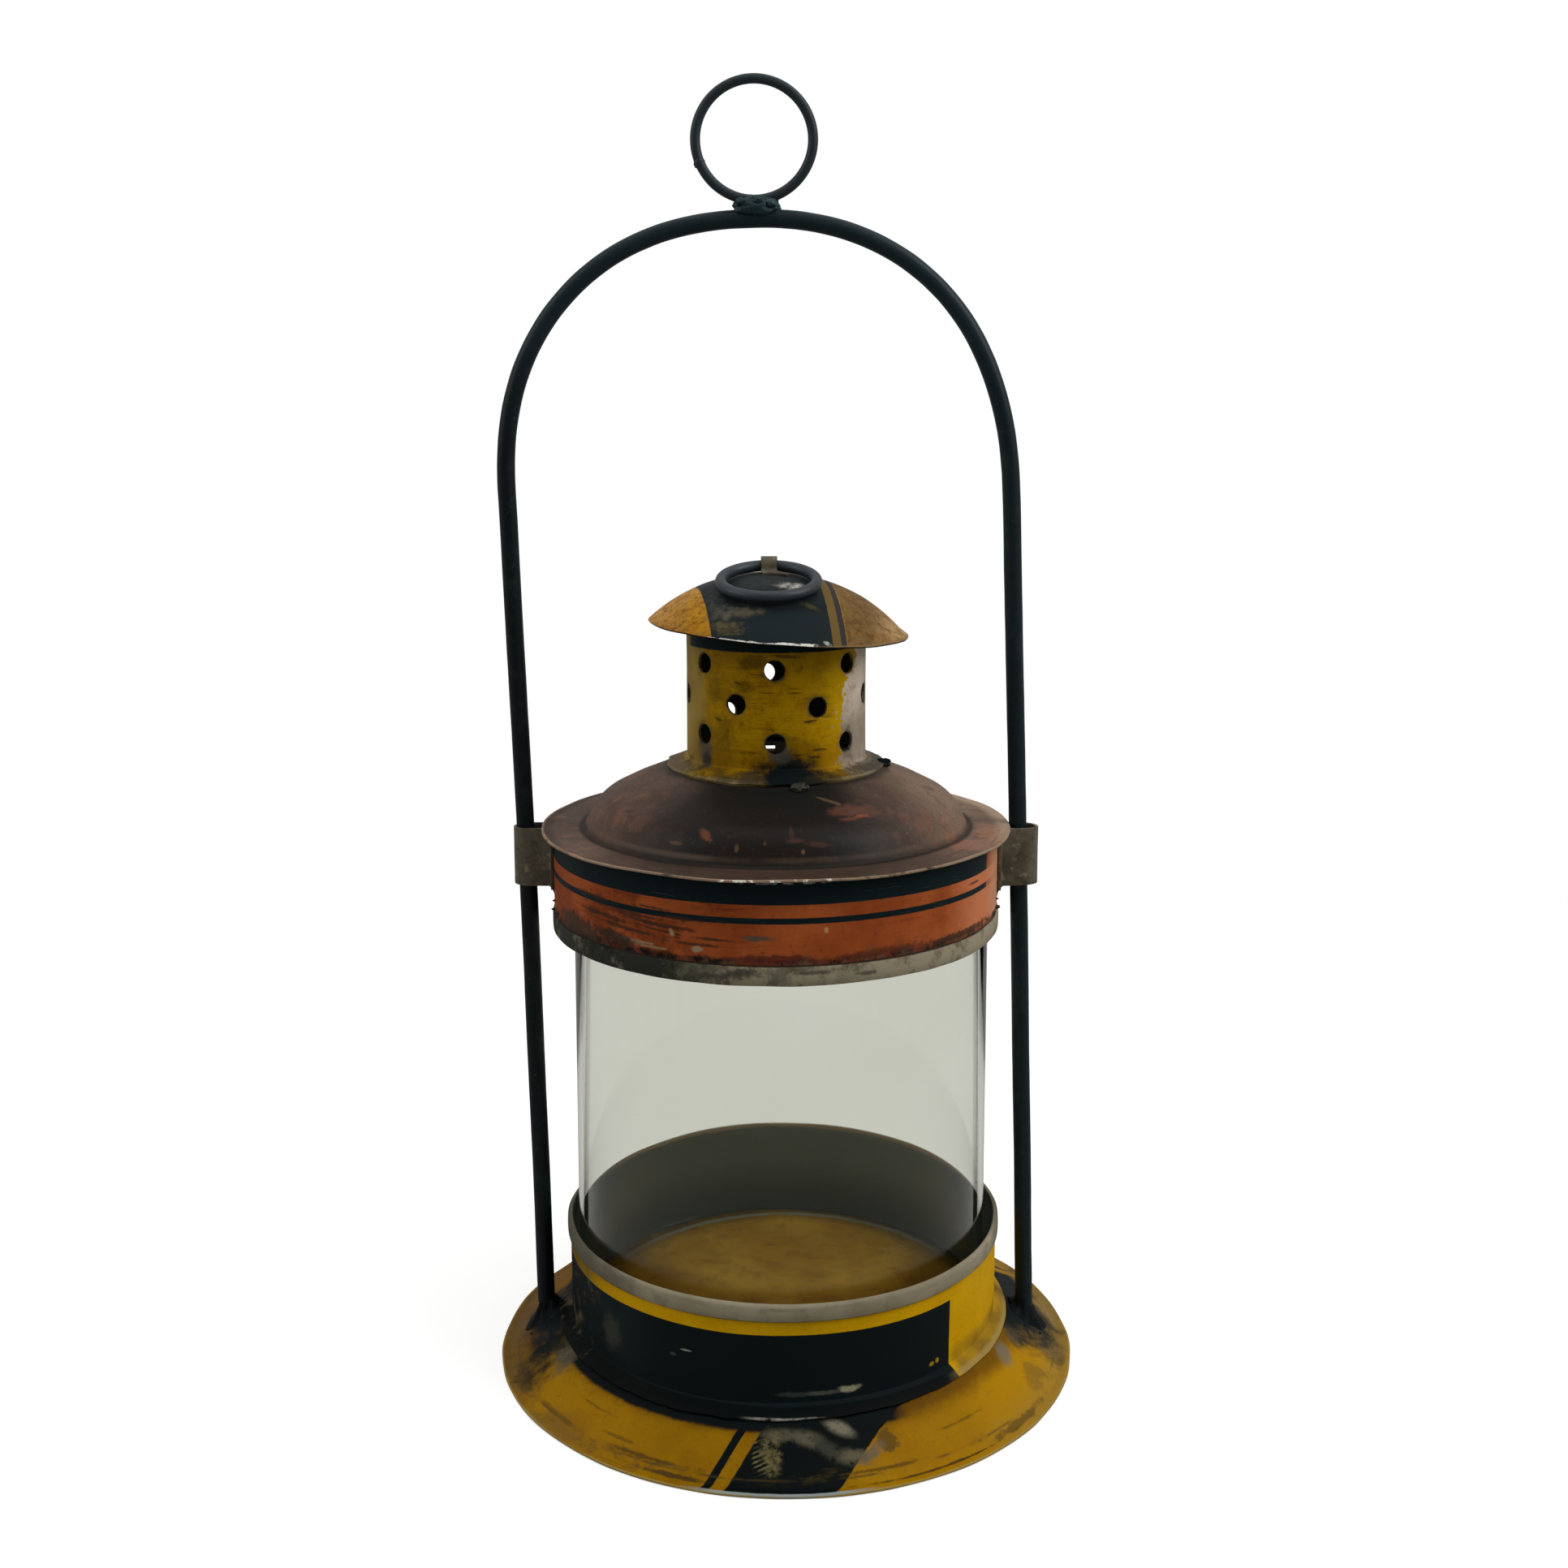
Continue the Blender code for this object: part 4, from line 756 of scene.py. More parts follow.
    foot = coat.rise(height, 193, 189, 1.4, 200)
    coat.over(foot, coat.blot, colour=ink(46, 38, 16), rough=0.6, share=0.8)
    coat.over(coat.rise(reach, 27.8, 29.6), coat.cloud, colour=ink(60, 50, 16), rough=0.6, share=0.4)
    turned_away = calc(tree, "ABSOLUTE", coat.ragged(around, 7, 150))
    flange = coat.rise(reach, 28.4, 30.2, 0.8, 160)
    grime = coat.times(coat.rise(reach, 27.4, 28.4), coat.blots(0.42, 0.56, 190, 6, 0.75))
    coat.over(grime, colour=ink(34, 28, 6), rough=0.6, share=0.6)
    coat.over(flange, coat.rise(turned_away, 48, 66),
              colour=mix_colour(tree, coat.flank(-20, 20, 2), ink(68, 56, 38), ink(46, 41, 35)), rough=0.5)
    coat.over(coat.rise(reach, 32.2, 33, 0.5), coat.cloud, colour=ink(88, 79, 58), rough=0.45, share=0.8)
    for mid, half, share, colour in (
            ((-50.5, 193.6), (6, 4), 0.9, ink(48, 45, 36)), ((-49, 190.2), (5, 2.4), 0.9, ink(26, 28, 26)),
            ((8, 188.6), (19, 4.6), 1, ink(4, 8, 10)), ((3, 193.2), (6, 2.4), 0.85, ink(40, 42, 38)),
            ((15, 187.4), (7, 3), 0.9, ink(8, 11, 12)), ((7, 186.2), (11, 2.2), 0.95, ink(7, 11, 13)),
            ((25, 187), (9, 0.9), 0.6, ink(26, 24, 14)), ((-14, 187), (7, 1.2), 0.8, ink(30, 28, 20)),
            ((-26, 186.6), (5, 0.9), 0.7, ink(30, 28, 18))):
        coat.over(coat.spot(around, height, mid, half, ragged=0.5, grit=200, soft=0.5), colour=colour,
                  rough=0.5, share=share)
    return coat.done()


def cap_print():
    """Ochre and blue-black print in bands across the cap, speckled with rust and chipped at the rim."""
    coat = Coat("cap_print", ink(134, 102, 50), 0.45, axis=HOOD_AXIS)
    at, tree = coat.at, coat.tree
    side, depth, reach = at["Side"], at["Depth"], at["Reach"]
    left = calc(tree, "MULTIPLY_ADD", depth, 0.175, coat.ragged(side, 0.3, 420))
    right = calc(tree, "MULTIPLY_ADD", depth, 0.13, coat.ragged(side, 0.2, 420))
    fresh = coat.times(coat.rise(side, -34, -22), coat.rise(depth, 0, -26))
    coat.over(fresh, colour=ink(134, 99, 12), share=0.9)
    coat.over(coat.rise(right, 16, 16.6), colour=ink(82, 64, 36))
    coat.over(coat.rise(side, 26, 36), colour=ink(126, 105, 72))
    coat.weather(tone(200, 172, 124), cloud=0.5, drags=0.3, scratches=0.2, specks=0.75, speck=ink(66, 42, 16))
    coat.over(coat.blots(0.55, 0.63, 190, 7, 0.72), colour=ink(94, 64, 24), rough=0.6, share=0.5)
    coat.over(coat.blots(0.56, 0.64, 480, 5, 0.7), coat.rise(reach, 20, 34), colour=ink(72, 46, 18), rough=0.65,
              share=0.6)
    coat.over(coat.rise(reach, 22, 36, 4, 120), coat.blot, colour=ink(78, 54, 28), rough=0.65, share=0.55)
    coat.darken(coat.blots(0.43, 0.64, 330, 7, 0.78), colour=tone(190, 158, 104), share=0.7)
    coat.over(coat.blots(0.5, 0.6, 95, 7, 0.75), coat.rise(side, 8, 20), colour=ink(58, 42, 24), rough=0.6,
              share=0.5)
    coat.over(coat.blots(0.58, 0.66, 700, 4, 0.7), coat.rise(reach, 16, 30, 6, 90), colour=ink(60, 40, 18),
              rough=0.65, share=0.6)
    dark = coat.times(coat.rise(left, -24.4, -24), coat.rise(right, 11.9, 11.7))
    coat.over(coat.band(right, 14.3, 16.2, 0.12), colour=ink(32, 29, 28))
    coat.over(coat.band(right, 11.6, 14.3, 0.1), colour=ink(66, 52, 24))
    coat.over(dark, colour=ink(13, 19, 21), rough=0.48)
    coat.over(dark, coat.rise(depth, -14, -2), colour=ink(30, 31, 30), share=0.7)
    shaded = coat.times(dark, coat.band(reach, 26.5, 29.5, 1.2, 0.8, 90), coat.rise(depth, -8, -16))
    coat.over(shaded, colour=ink(10, 13, 15), share=0.7)
    for mid, half, slanted, share, colour in (
            ((-17.8, -21), (2.6, 6), 0.3, 0.75, ink(40, 40, 36)),
            ((-13, -28), (5.4, 2.4), 0.1, 0.85, ink(50, 48, 41)),
            ((-9, -29.4), (5.4, 1.5), 0, 0.75, ink(52, 48, 35)),
            ((-13.5, -32.6), (4, 1.6), 0.2, 0.8, ink(62, 54, 30)),
            ((-11.6, -35), (2.2, 0.8), 0.2, 0.7, ink(60, 51, 26)),
            ((10, -25.6), (2.4, 1), 0.2, 0.75, ink(44, 40, 20)),
            ((6, -15.8), (4.2, 2.4), 0, 0.9, ink(138, 135, 126)), ((-3, -13), (8, 5), 0, 0.5, ink(34, 35, 34)),
            ((15, -36), (1.2, 0.4), 0, 0.8, ink(130, 130, 124))):
        scuff = coat.spot(side, depth, mid, half, slanted, ragged=0.9, grit=240, soft=0.6)
        scuff = coat.times(scuff, coat.blots(0.34, 0.58, 420, 6, 0.75))
        coat.over(scuff, colour=colour, rough=0.5, share=share)
    rim = coat.rise(reach, 39.2, 39.8, 0.4, 260)
    coat.over(rim, colour=ink(84, 66, 42), rough=0.5, metal=0.1, share=0.8)
    chipped = coat.times(coat.rise(reach, 38.9, 39.1, 0.7, 200), coat.band(side, -20, 12, 1, 3, 160),
                         coat.rise(depth, -18, -24))
    chipped = coat.times(chipped, coat.blots(0.4, 0.48, 330, 6, 0.75))
    coat.over(chipped, colour=ink(150, 148, 142), rough=0.4)
    return coat.done()


# Finishes of the small pieces
def bare_tin():
    """Dull bare strip, brown in the corners, with painted shade on the left clip."""
    coat = Coat("bare_tin", ink(78, 72, 59), 0.42, size=0.7)
    # Painted shade: the clip on the left is darkened.
    coat.darken(coat.rise(coat.at["Side"], -30, -50), colour=tone(210, 210, 208), share=0.8)
    coat.weather(tone(150, 138, 122), drags=0.7, scratches=0.4, cloud=0.9, specks=0.5, speck=ink(48, 38, 26))
    coat.over(coat.blot, colour=ink(34, 31, 25), rough=0.6, share=0.8)
    coat.over(coat.blots(0.56, 0.66, 330, 5, 0.7), colour=ink(100, 94, 79), rough=0.45, share=0.5)
    return coat.done(shine=0.35)


def iron_black(name, colour, rough, shine, legs=False):
    """Black iron wire, a little dusty; the bail's legs are darker than its arch, and the left leg has painted
    shade.
    """
    coat = Coat(name, colour, rough, size=0.8)
    if legs:
        low = coat.rise(coat.at["Height"], 325, 280)
        coat.darken(low, colour=tone(172, 168, 168), share=0.6)
        # Painted shade: the left leg is darker still.
        coat.darken(low, coat.rise(coat.at["Side"], 20, -20), colour=tone(186, 180, 184))
    coat.darken(coat.cloud, colour=tone(214, 214, 214), share=0.6)
    coat.over(coat.blot, colour=ink(26, 31, 33), rough=0.6, share=0.2)
    coat.over(coat.speck, colour=ink(34, 38, 38), rough=0.65, share=0.25)
    return coat.done(bump=0.15, shine=shine)


def weld_metal(name, colour, light, rough, shine=0.2):
    """Rough lumps of weld or solder with small painted glints."""
    coat = Coat(name, colour, rough, 0.2, size=0.5)
    coat.over(coat.cloud, colour=light, rough=rough - 0.1, share=0.6)
    coat.over(coat.blot, colour=SOOT, rough=0.55, share=0.8)
    # Painted highlight: small lighter, smoother specks stand in for glints.
    coat.over(coat.speck, colour=ink(50, 53, 52), rough=0.35, share=0.25)
    return coat.done(bump=0.4, depth=0.0003, fine=1, shine=shine)


def clear_glass():
    """Clear tube with faint smears; lamplight passes straight through it."""
    material, tree, shader = new_material("clear_glass")
    for label, value in (("Roughness", 0.0), ("IOR", 1.22), ("Transmission Weight", 1.0)):
        shader.inputs[label].default_value = value
    smear = use(tree, GRAIN, Size=2.2)["Cloud"]
    clear, smeared = (0.94, 0.945, 0.93, 1.0), (0.915, 0.92, 0.9, 1.0)
    feed(tree, shader.inputs["Base Color"], mix_colour(tree, smear, clear, smeared))
    through = add(tree, "BsdfTransparent", {"Color": (0.93, 0.935, 0.92, 1.0)})
    lamps = add(tree, "LightPath").outputs["Is Shadow Ray"]
    both = add(tree, "MixShader", {0: lamps, 1: shader.outputs[0], 2: through.outputs[0]})
    feed(tree, tree.nodes["Material Output"].inputs["Surface"], both.outputs[0])
    return material


# Lines and sheets
def rounded(path, radii, steps=5):
    """A line of reach and height with its inner corners rounded."""
    line = [Vector(path[0])]
    for before, corner, after, radius in zip(path, path[1:], path[2:], radii):
        corner = Vector(corner)
        back = Vector(before) - corner
        ahead = Vector(after) - corner
        half = back.angle(ahead) / 2
        run = min(radius / tan(half), 0.48 * back.length, 0.48 * ahead.length)
        start = corner + back.normalized() * run
        end = corner + ahead.normalized() * run
        hub = corner + (back.normalized() + ahead.normalized()).normalized() * run / cos(half)
        for step in range(steps + 1):
            line.append(hub + (start.lerp(end, step / steps) - hub).normalized() * run * tan(half))
    return line + [Vector(path[-1])]


def beside(line, gap):
    """The line moved sideways, to the right of its direction."""
    moved = []
    for index, point in enumerate(line):
        before = line[max(index - 1, 0)]
        after = line[min(index + 1, len(line) - 1)]
        first = (point - before if index else after - point).normalized()
        last = (after - point if index < len(line) - 1 else point - before).normalized()
        mitre = (Vector((first.y, -first.x)) + Vector((last.y, -last.x))).normalized()
        moved.append(point + mitre * gap / mitre.dot(Vector((first.y, -first.x))))
    return moved


def filled(line, longest):
    """The line with long stretches cut shorter, so that they can be dented."""
    full = [line[0]]
    for start, end in zip(line, line[1:]):
        count = max(1, round((end - start).length / longest))
        full += [start.lerp(end, step / count) for step in range(1, count + 1)]
    return full


def sheet(line, gauge=GAUGE):
    return list(line) + beside(line, gauge)[::-1]


def turned(outline, steps, axis=0.0, loop=True, start=0.0, sweep=360.0):
    """An outline of reach and height, turned about an upright axis. Start is in degrees from the front."""
    bm = bmesh.new()
    verts = [bm.verts.new((point[0], 0.0, point[1])) for point in outline]
    edges = [bm.edges.new(pair) for pair in zip(verts, verts[1:])]
    if loop:
        edges.append(bm.edges.new((verts[-1], verts[0])))
    if sweep < 360.0:
        bmesh.ops.holes_fill(bm, edges=edges)
    geom = verts + edges + list(bm.faces)
    bmesh.ops.rotate(bm, verts=bm.verts, matrix=Matrix.Rotation(radians(start) - pi / 2, 3, "Z"))
    bmesh.ops.spin(bm, geom=geom, axis=(0, 0, 1), angle=radians(sweep), steps=steps, use_merge=sweep == 360.0)
    bmesh.ops.remove_doubles(bm, verts=bm.verts, dist=1e-4)
    bmesh.ops.translate(bm, verts=bm.verts, vec=(axis, 0.0, 0.0))
    return bm


def ramp(value, low, high):
    """0 at one value and 1 at another, straight between."""
    return min(max((value - low) / (high - low), 0.0), 1.0)


def push_out(vert, amount, axis=0.0):
    """Moves a point away from an upright axis."""
    x, y = vert.co.x - axis, vert.co.y
    grow = amount / hypot(x, y)
    vert.co.x += x * grow
    vert.co.y += y * grow


def ripple(bm, size, out=0.0, up=0.0, axis=0.0, share=None):
    """Small dents and waves of hand-worked sheet."""
    for vert in bm.verts:
        x, y, z = vert.co.x - axis, vert.co.y, vert.co.z
        reach = hypot(x, y)
        wave = noise.noise_vector(Vector((x, y, z)) / size)
        much = share(reach, z) if share else 1.0
        if reach > 0.01:
            push_out(vert, wave.x * out * much, axis)
        vert.co.z += wave.y * up * much


def soften(bm, width):
    """Rounds the sharp edges."""
    bmesh.ops.recalc_face_normals(bm, faces=bm.faces)
    sharp = [edge for edge in bm.edges
             if len(edge.link_faces) == 2 and edge.calc_face_angle() > radians(50.0)]
    bmesh.ops.bevel(bm, geom=sharp, offset=width, offset_type="OFFSET", segments=2, profile=0.5,
                    affect="EDGES", material=-1, clamp_overlap=True)


def as_mesh(name, bm):
    mesh = bpy.data.meshes.new(name)
    bm.to_mesh(mesh)
    bm.free()
    return mesh


def linked(name, data):
    made = bpy.data.objects.new(name, data)
    bpy.context.scene.collection.objects.link(made)
    return made


def piece(name, bm, body, coats, replaced=(), inside=None, sharp=40.0):
    """A finished piece: scaled to metres, painted, and riding on its body."""
    bmesh.ops.remove_doubles(bm, verts=bm.verts, dist=5e-4)
    bmesh.ops.recalc_face_normals(bm, faces=bm.faces)
    bm.normal_update()
    if inside:
        for face in bm.faces:
            face.material_index = 1 if inside(face) else 0
    bmesh.ops.scale(bm, verts=bm.verts, vec=(MM, MM, MM))
    mesh = as_mesh(name, bm)
    for coat in coats:
        mesh.materials.append(coat)
    mesh.shade_smooth()
    mesh.set_sharp_from_angle(angle=radians(sharp))
    made = linked(name, mesh)
    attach(made, body)
    if replaced:
        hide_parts(*replaced)


def faces_axis(axis):
    """True for a face that looks towards an upright axis."""
    def test(face):
        middle = face.calc_center_median()
        reach = hypot(middle.x - axis, middle.y)
        return face.normal.x * (middle.x - axis) + face.normal.y * middle.y < -0.3 * reach
    return test


def faces_down(face):
    return face.normal.z < -0.25


def cut(bm, cutter):
    """One mesh less another."""
    bmesh.ops.recalc_face_normals(bm, faces=bm.faces)
    held = [linked(name, as_mesh(name, made)) for name, made in (("cut_piece", bm), ("cut_away", cutter))]
    less = held[0].modifiers.new("cut", "BOOLEAN")
    less.operation = "DIFFERENCE"
    less.solver = "EXACT"
    less.object = held[1]
    bpy.context.view_layer.update()
    whole = bmesh.new()
    whole.from_object(held[0], bpy.context.evaluated_depsgraph_get())
    for made in held:
        mesh = made.data
        bpy.data.objects.remove(made)
        bpy.data.meshes.remove(mesh)
    return whole


# Base
def brim_height(reach):
    return FLOOR_TOP - (FLOOR_TOP - GAUGE) * ramp(reach, BRIM_START, BRIM_END)


def make_base(coats):
    """Pressed plate: a flat floor, a sloping brim and a flat lip."""
    corners = [(0, FLOOR_TOP), (BRIM_START, FLOOR_TOP), (BRIM_END, GAUGE), (BASE_REACH, GAUGE)]
    bm = turned(sheet(filled(rounded(corners, (2.4, 2.4)), 3.5)), TURN_STEPS, loop=False)
    soften(bm, 0.22)
    ripple(bm, 24.0, up=0.5, share=lambda reach, z: ramp(reach, 70.0, BASE_REACH))
    ripple(bm, 30.0, up=0.22, share=lambda reach, z: 1.0 if reach < 64.0 else 0.0)
    lip = BASE_REACH - 2.0
    for vert in bm.verts:
        vert.co.z = max(vert.co.z, 0.0)
        reach = hypot(vert.co.x, vert.co.y)
        if reach > lip:
            wave = 0.35 * (1 + noise.noise(Vector((vert.co.x, vert.co.y, 4.0)) / 14.0))
            push_out(vert, -wave * (reach - lip) / 2.0)
    piece("base_plate_tin", bm, "base", coats, ("base_plate",), faces_down)


def make_collar(coats):
    """Rolled strip with a folded hem, off the base's middle; its flared foot follows the brim."""
    foot = [(reach, brim_height(reach) + 0.05) for reach in (COLLAR_BORE, FLARE_REACH)]
    line = filled(rounded([(COLLAR_BORE, 43.8)] + foot, (0.8,)), 3.0)
    hem = [(66.6, 39.25), (67.3, 39.35), (67.5, 39.8), (67.55, 41.5), (67.5, 43.4), (67.2, 44.0), (66.7, 44.3),
           (66.1, 44.2)]
    wall = [point for point in beside(line, -GAUGE)[::-1] if point.y < 39.0]
    bm = turned(line + wall + [Vector(point) for point in hem], TURN_STEPS)
    soften(bm, 0.2)
    ripple(bm, 26.0, out=0.35, up=0.25, share=lambda reach, z: 1.0 if z > 14.0 else 0.4)
    for vert in bm.verts:
        before = hypot(vert.co.x, vert.co.y)
        vert.co.x += COLLAR_OFF
        reach = hypot(vert.co.x, vert.co.y)
        vert.co.z -= FLARE_DROP * (reach - before) * ramp(vert.co.z, 17.0, 14.0)
        front = max(-vert.co.y / reach, 0.0)
        if reach > FLARE_BEND:
            push = (0.3 * front ** 2 + 0.35 * noise.noise(vert.co / 6.0)) * (reach - FLARE_BEND) / 2.0
            push_out(vert, push)
            vert.co.z -= FLARE_DROP * push
    piece("base_collar_tin", bm, "base", coats, ("base_collar",), faces_axis(0.0))


def lump(size, centre, rough, seed, detail=4, floor=None):
    """An uneven bead of weld or solder."""
    bm = bmesh.new()
    bmesh.ops.create_icosphere(bm, subdivisions=detail, radius=0.5)
    for vert in bm.verts:
        away = vert.co.normalized()
        wave = noise.fractal(away * 1.7 + Vector((seed, 0.0, seed)), 0.9, 2.1, 4)
        vert.co = away * 0.5 * (1 + rough * wave)
        vert.co = vert.co * Vector(size) + Vector(centre)
        if floor:
            vert.co.z = max(vert.co.z, floor(vert.co))
    return bm


def joined(*meshes):
    """Several meshes as one."""
    whole = bmesh.new()
    for bm in meshes:
        kept = as_mesh("join", bm)
        whole.from_mesh(kept)
        bpy.data.meshes.remove(kept)
    return whole


def make_foot_weld(name, way, coats):
    """A burnt mound round a foot of the bail, with spatter on the brim."""
    foot_x = -76.2 if way < 0 else 75.9
    line = [(2.5, 4.6), (3.1, 3.9), (3.7, 2.7), (4.4, 1.7), (5.2, 0.9), (6.2, 0.35), (6.9, 0.0), (6.4, -0.5),
            (2.5, -0.5)]
    bm = turned(filled([Vector(point) for point in line], 0.7), 56)
    for vert in bm.verts:
        reach = hypot(vert.co.x, vert.co.y)
        wave = noise.fractal(Vector((vert.co.x, vert.co.y, way * 5.0)) / 2.6, 0.8, 2.0, 4)
        bulge = 1 + 0.22 * noise.noise(Vector((vert.co.x / reach, vert.co.y / reach, way * 3.0)) * 1.6)
        if reach > 3.0:
            vert.co.x *= bulge
            vert.co.y *= bulge
        if vert.co.z > 0.1:
            vert.co.z += 0.45 * wave
        vert.co.x += foot_x
        push_out(vert, max(WELD_CLEARS_COLLAR - hypot(vert.co.x, vert.co.y), 0.0))
        vert.co.z += brim_height(hypot(vert.co.x, vert.co.y))
    beads = [bm]
    for x, y, size, seed in ((4.0, -8.2, 0.8, 1.0), (-1.0, -9.4, 0.6, 2.0), (2.4, 9.0, 0.7, 4.0)):
        at = Vector((foot_x + way * x, y))
        middle = (at.x, at.y, brim_height(at.length) + 0.1)
        beads.append(lump((size, size, size * 0.8), middle, 0.25, seed + way, 2))
    piece(name + "_metal", joined(*beads), "base", coats, (name,), sharp=60.0)


# Bail
def leaned(bm):
    """From the bail's own upright frame to where it leans on the base."""
    matrix = Matrix.Translation((BAIL_FOOT, 0.0, 0.0)) @ Matrix.Rotation(-BAIL_LEAN, 4, "Y")
    bmesh.ops.transform(bm, verts=bm.verts, matrix=matrix)
    return bm


def rod_mesh(path, reach, sides):
    """A round rod along a line, as a mesh."""
    curve = bpy.data.curves.new("rod", "CURVE")
    curve.dimensions = "3D"
    curve.bevel_depth = reach
    curve.bevel_resolution = (sides - 4) // 2
    curve.use_fill_caps = True
    spline = curve.splines.new("POLY")
    spline.points.add(len(path) - 1)
    for point, place in zip(spline.points, path):
        point.co = (*place, 1.0)
    holder = linked("rod", curve)
    bpy.context.view_layer.update()
    mesh = bpy.data.meshes.new_from_object(holder.evaluated_get(bpy.context.evaluated_depsgraph_get()))
    bpy.data.objects.remove(holder)
    bm = bmesh.new()
    bm.from_mesh(mesh)
    bpy.data.meshes.remove(mesh)
    bpy.data.curves.remove(curve)
    return bm


def make_bail(coats):
    """Two legs and a full arch, bent by hand and standing a little further to the left at the feet."""
    leg_steps, arch_steps, left_foot, right_foot = 40, 120, 14.6, 7.0
    path = [(-ROD_OFFSET, 0.0, left_foot + (ARCH_SPRING - left_foot) * step / leg_steps)
            for step in range(leg_steps)]
    for step in range(arch_steps + 1):
        turn = pi - pi * step / arch_steps
        reach = abs(cos(turn)) ** ARCH_POWER * (1 if cos(turn) > 0 else -1)
        path.append((ROD_OFFSET * reach, 0.0, ARCH_SPRING + ARCH_RISE * max(sin(turn), 0.0) ** ARCH_POWER))
    path += [(ROD_OFFSET, 0.0, ARCH_SPRING + (right_foot - ARCH_SPRING) * step / leg_steps)
             for step in range(1, leg_steps + 1)]
    bm = rod_mesh(path, ROD_REACH - 0.03, 22)
    bmesh.ops.remove_doubles(bm, verts=bm.verts, dist=1e-4)
    for vert in bm.verts:
        bend = noise.noise_vector(Vector((0.0, 7.0, vert.co.z / 38.0)))
        vert.co += 0.06 * noise.noise_vector(vert.co / 5.0) + 0.18 * bend
    bm = leaned(bm)
    for vert in bm.verts:
        low = max(1 - vert.co.z / 147.0, 0.0) ** 1.2
        vert.co.x -= low * (1.7 if vert.co.x < 0 else 0.9) + 0.6 + 0.7 * ramp(vert.co.z, 264.0, 304.0)
    piece("bail_rod_iron", bm, "base", coats, ("bail_rod",), sharp=50.0)


def ring_mesh(reach, wire, steps, sides, uneven, seed):
    """A ring of round wire, bent by hand, lying flat round the origin."""
    bm = bmesh.new()
    bmesh.ops.create_circle(bm, segments=sides, radius=wire)
    stand = Matrix.Translation((reach, 0.0, 0.0)) @ Matrix.Rotation(pi / 2, 4, "X")
    bmesh.ops.transform(bm, verts=bm.verts, matrix=stand)
    geom = list(bm.verts) + list(bm.edges)
    bmesh.ops.spin(bm, geom=geom, axis=(0, 0, 1), angle=2 * pi, steps=steps, use_merge=True)
    for vert in bm.verts:
        turn = atan2(vert.co.y, vert.co.x)
        wave = noise.noise_vector(Vector((cos(turn), sin(turn), seed)) * 1.3)
        grow = 1 + uneven * wave.x / reach
        vert.co = Vector((vert.co.x * grow, vert.co.y * grow, vert.co.z + uneven * wave.y))
    return bm


def make_hanging_ring(iron, weld):
    """The ring with the lump where its ends meet, and the beads of weld that hold it on the arch."""
    bm = ring_mesh(RING_REACH, RING_WIRE, 128, 20, 0.05, 3.0)
    upright = Matrix.Translation(RING_MIDDLE) @ Matrix.Rotation(pi / 2, 4, "X")
    bmesh.ops.transform(bm, verts=bm.verts, matrix=upright)
    butt = lump((3.3, 3.2, 3.8), Vector(RING_MIDDLE) - Vector((16.2, 0.0, 6.2)), 0.16, 9.0, 3)
    whole = leaned(joined(bm, butt))
    piece("hanging_ring_iron", whole, "base", iron, ("hanging_ring",), sharp=60.0)
    beads = [lump((13.6, 8.4, 7.2), RING_WELD, 0.2, 2.0, 5)]
    for x, y, z, size, seed in (
            (-4.6, -2.4, 1.4, 3.2, 4.0), (4.4, -2.8, 0.6, 3.4, 5.0), (0.6, -3.4, 1.6, 2.6, 6.0),
            (3.2, 2.6, 1.6, 3.2, 7.0), (-3.0, 2.8, 0.8, 3.0, 8.0)):
        beads.append(lump((size, size, size * 0.8), Vector(RING_WELD) + Vector((x, y, z)), 0.22, seed, 3))
    piece("ring_weld_metal", leaned(joined(*beads)), "base", weld, ("ring_weld",), sharp=60.0)


# Glass
def make_glass(coats):
    """Open tube with rounded ends."""
    start = (GLASS_BORE, 90.0)
    corners = [(GLASS_BORE, GLASS_TOP), (GLASS_REACH, GLASS_TOP),
               (GLASS_REACH, GLASS_FOOT), (GLASS_BORE, GLASS_FOOT)]
    bm = turned(rounded([start, *corners, start], (0.9,) * 4)[:-1], 192, GLASS_AXIS)
    piece("glass_tube", bm, "glass", coats, ("glass_cylinder",), sharp=60.0)


# Hood
def make_band(coats):
    """Rolled strip with a folded hem at its foot."""
    top, bore = 166.75, 67.0
    hem = [(bore, 137.6), (67.1, 137.2), (67.45, 137.0), (67.95, 137.05), (68.25, 137.4), (68.32, 139.5),
           (68.28, 141.9), (68.15, 142.3), (bore + GAUGE, 142.42)]
    line = filled([Vector(point) for point in [(bore, top)] + hem + [(bore + GAUGE, top)]], 2.6)
    bm = turned(line, TURN_STEPS, HOOD_AXIS)
    ripple(bm, 30.0, out=0.4, axis=HOOD_AXIS)
    ripple(bm, 9.0, out=0.12, up=0.15, axis=HOOD_AXIS, share=lambda reach, z: 1.0 if z < 144.0 else 0.4)
    piece("hood_band_tin", bm, "hood", coats, ("hood_band",), faces_axis(HOOD_AXIS))


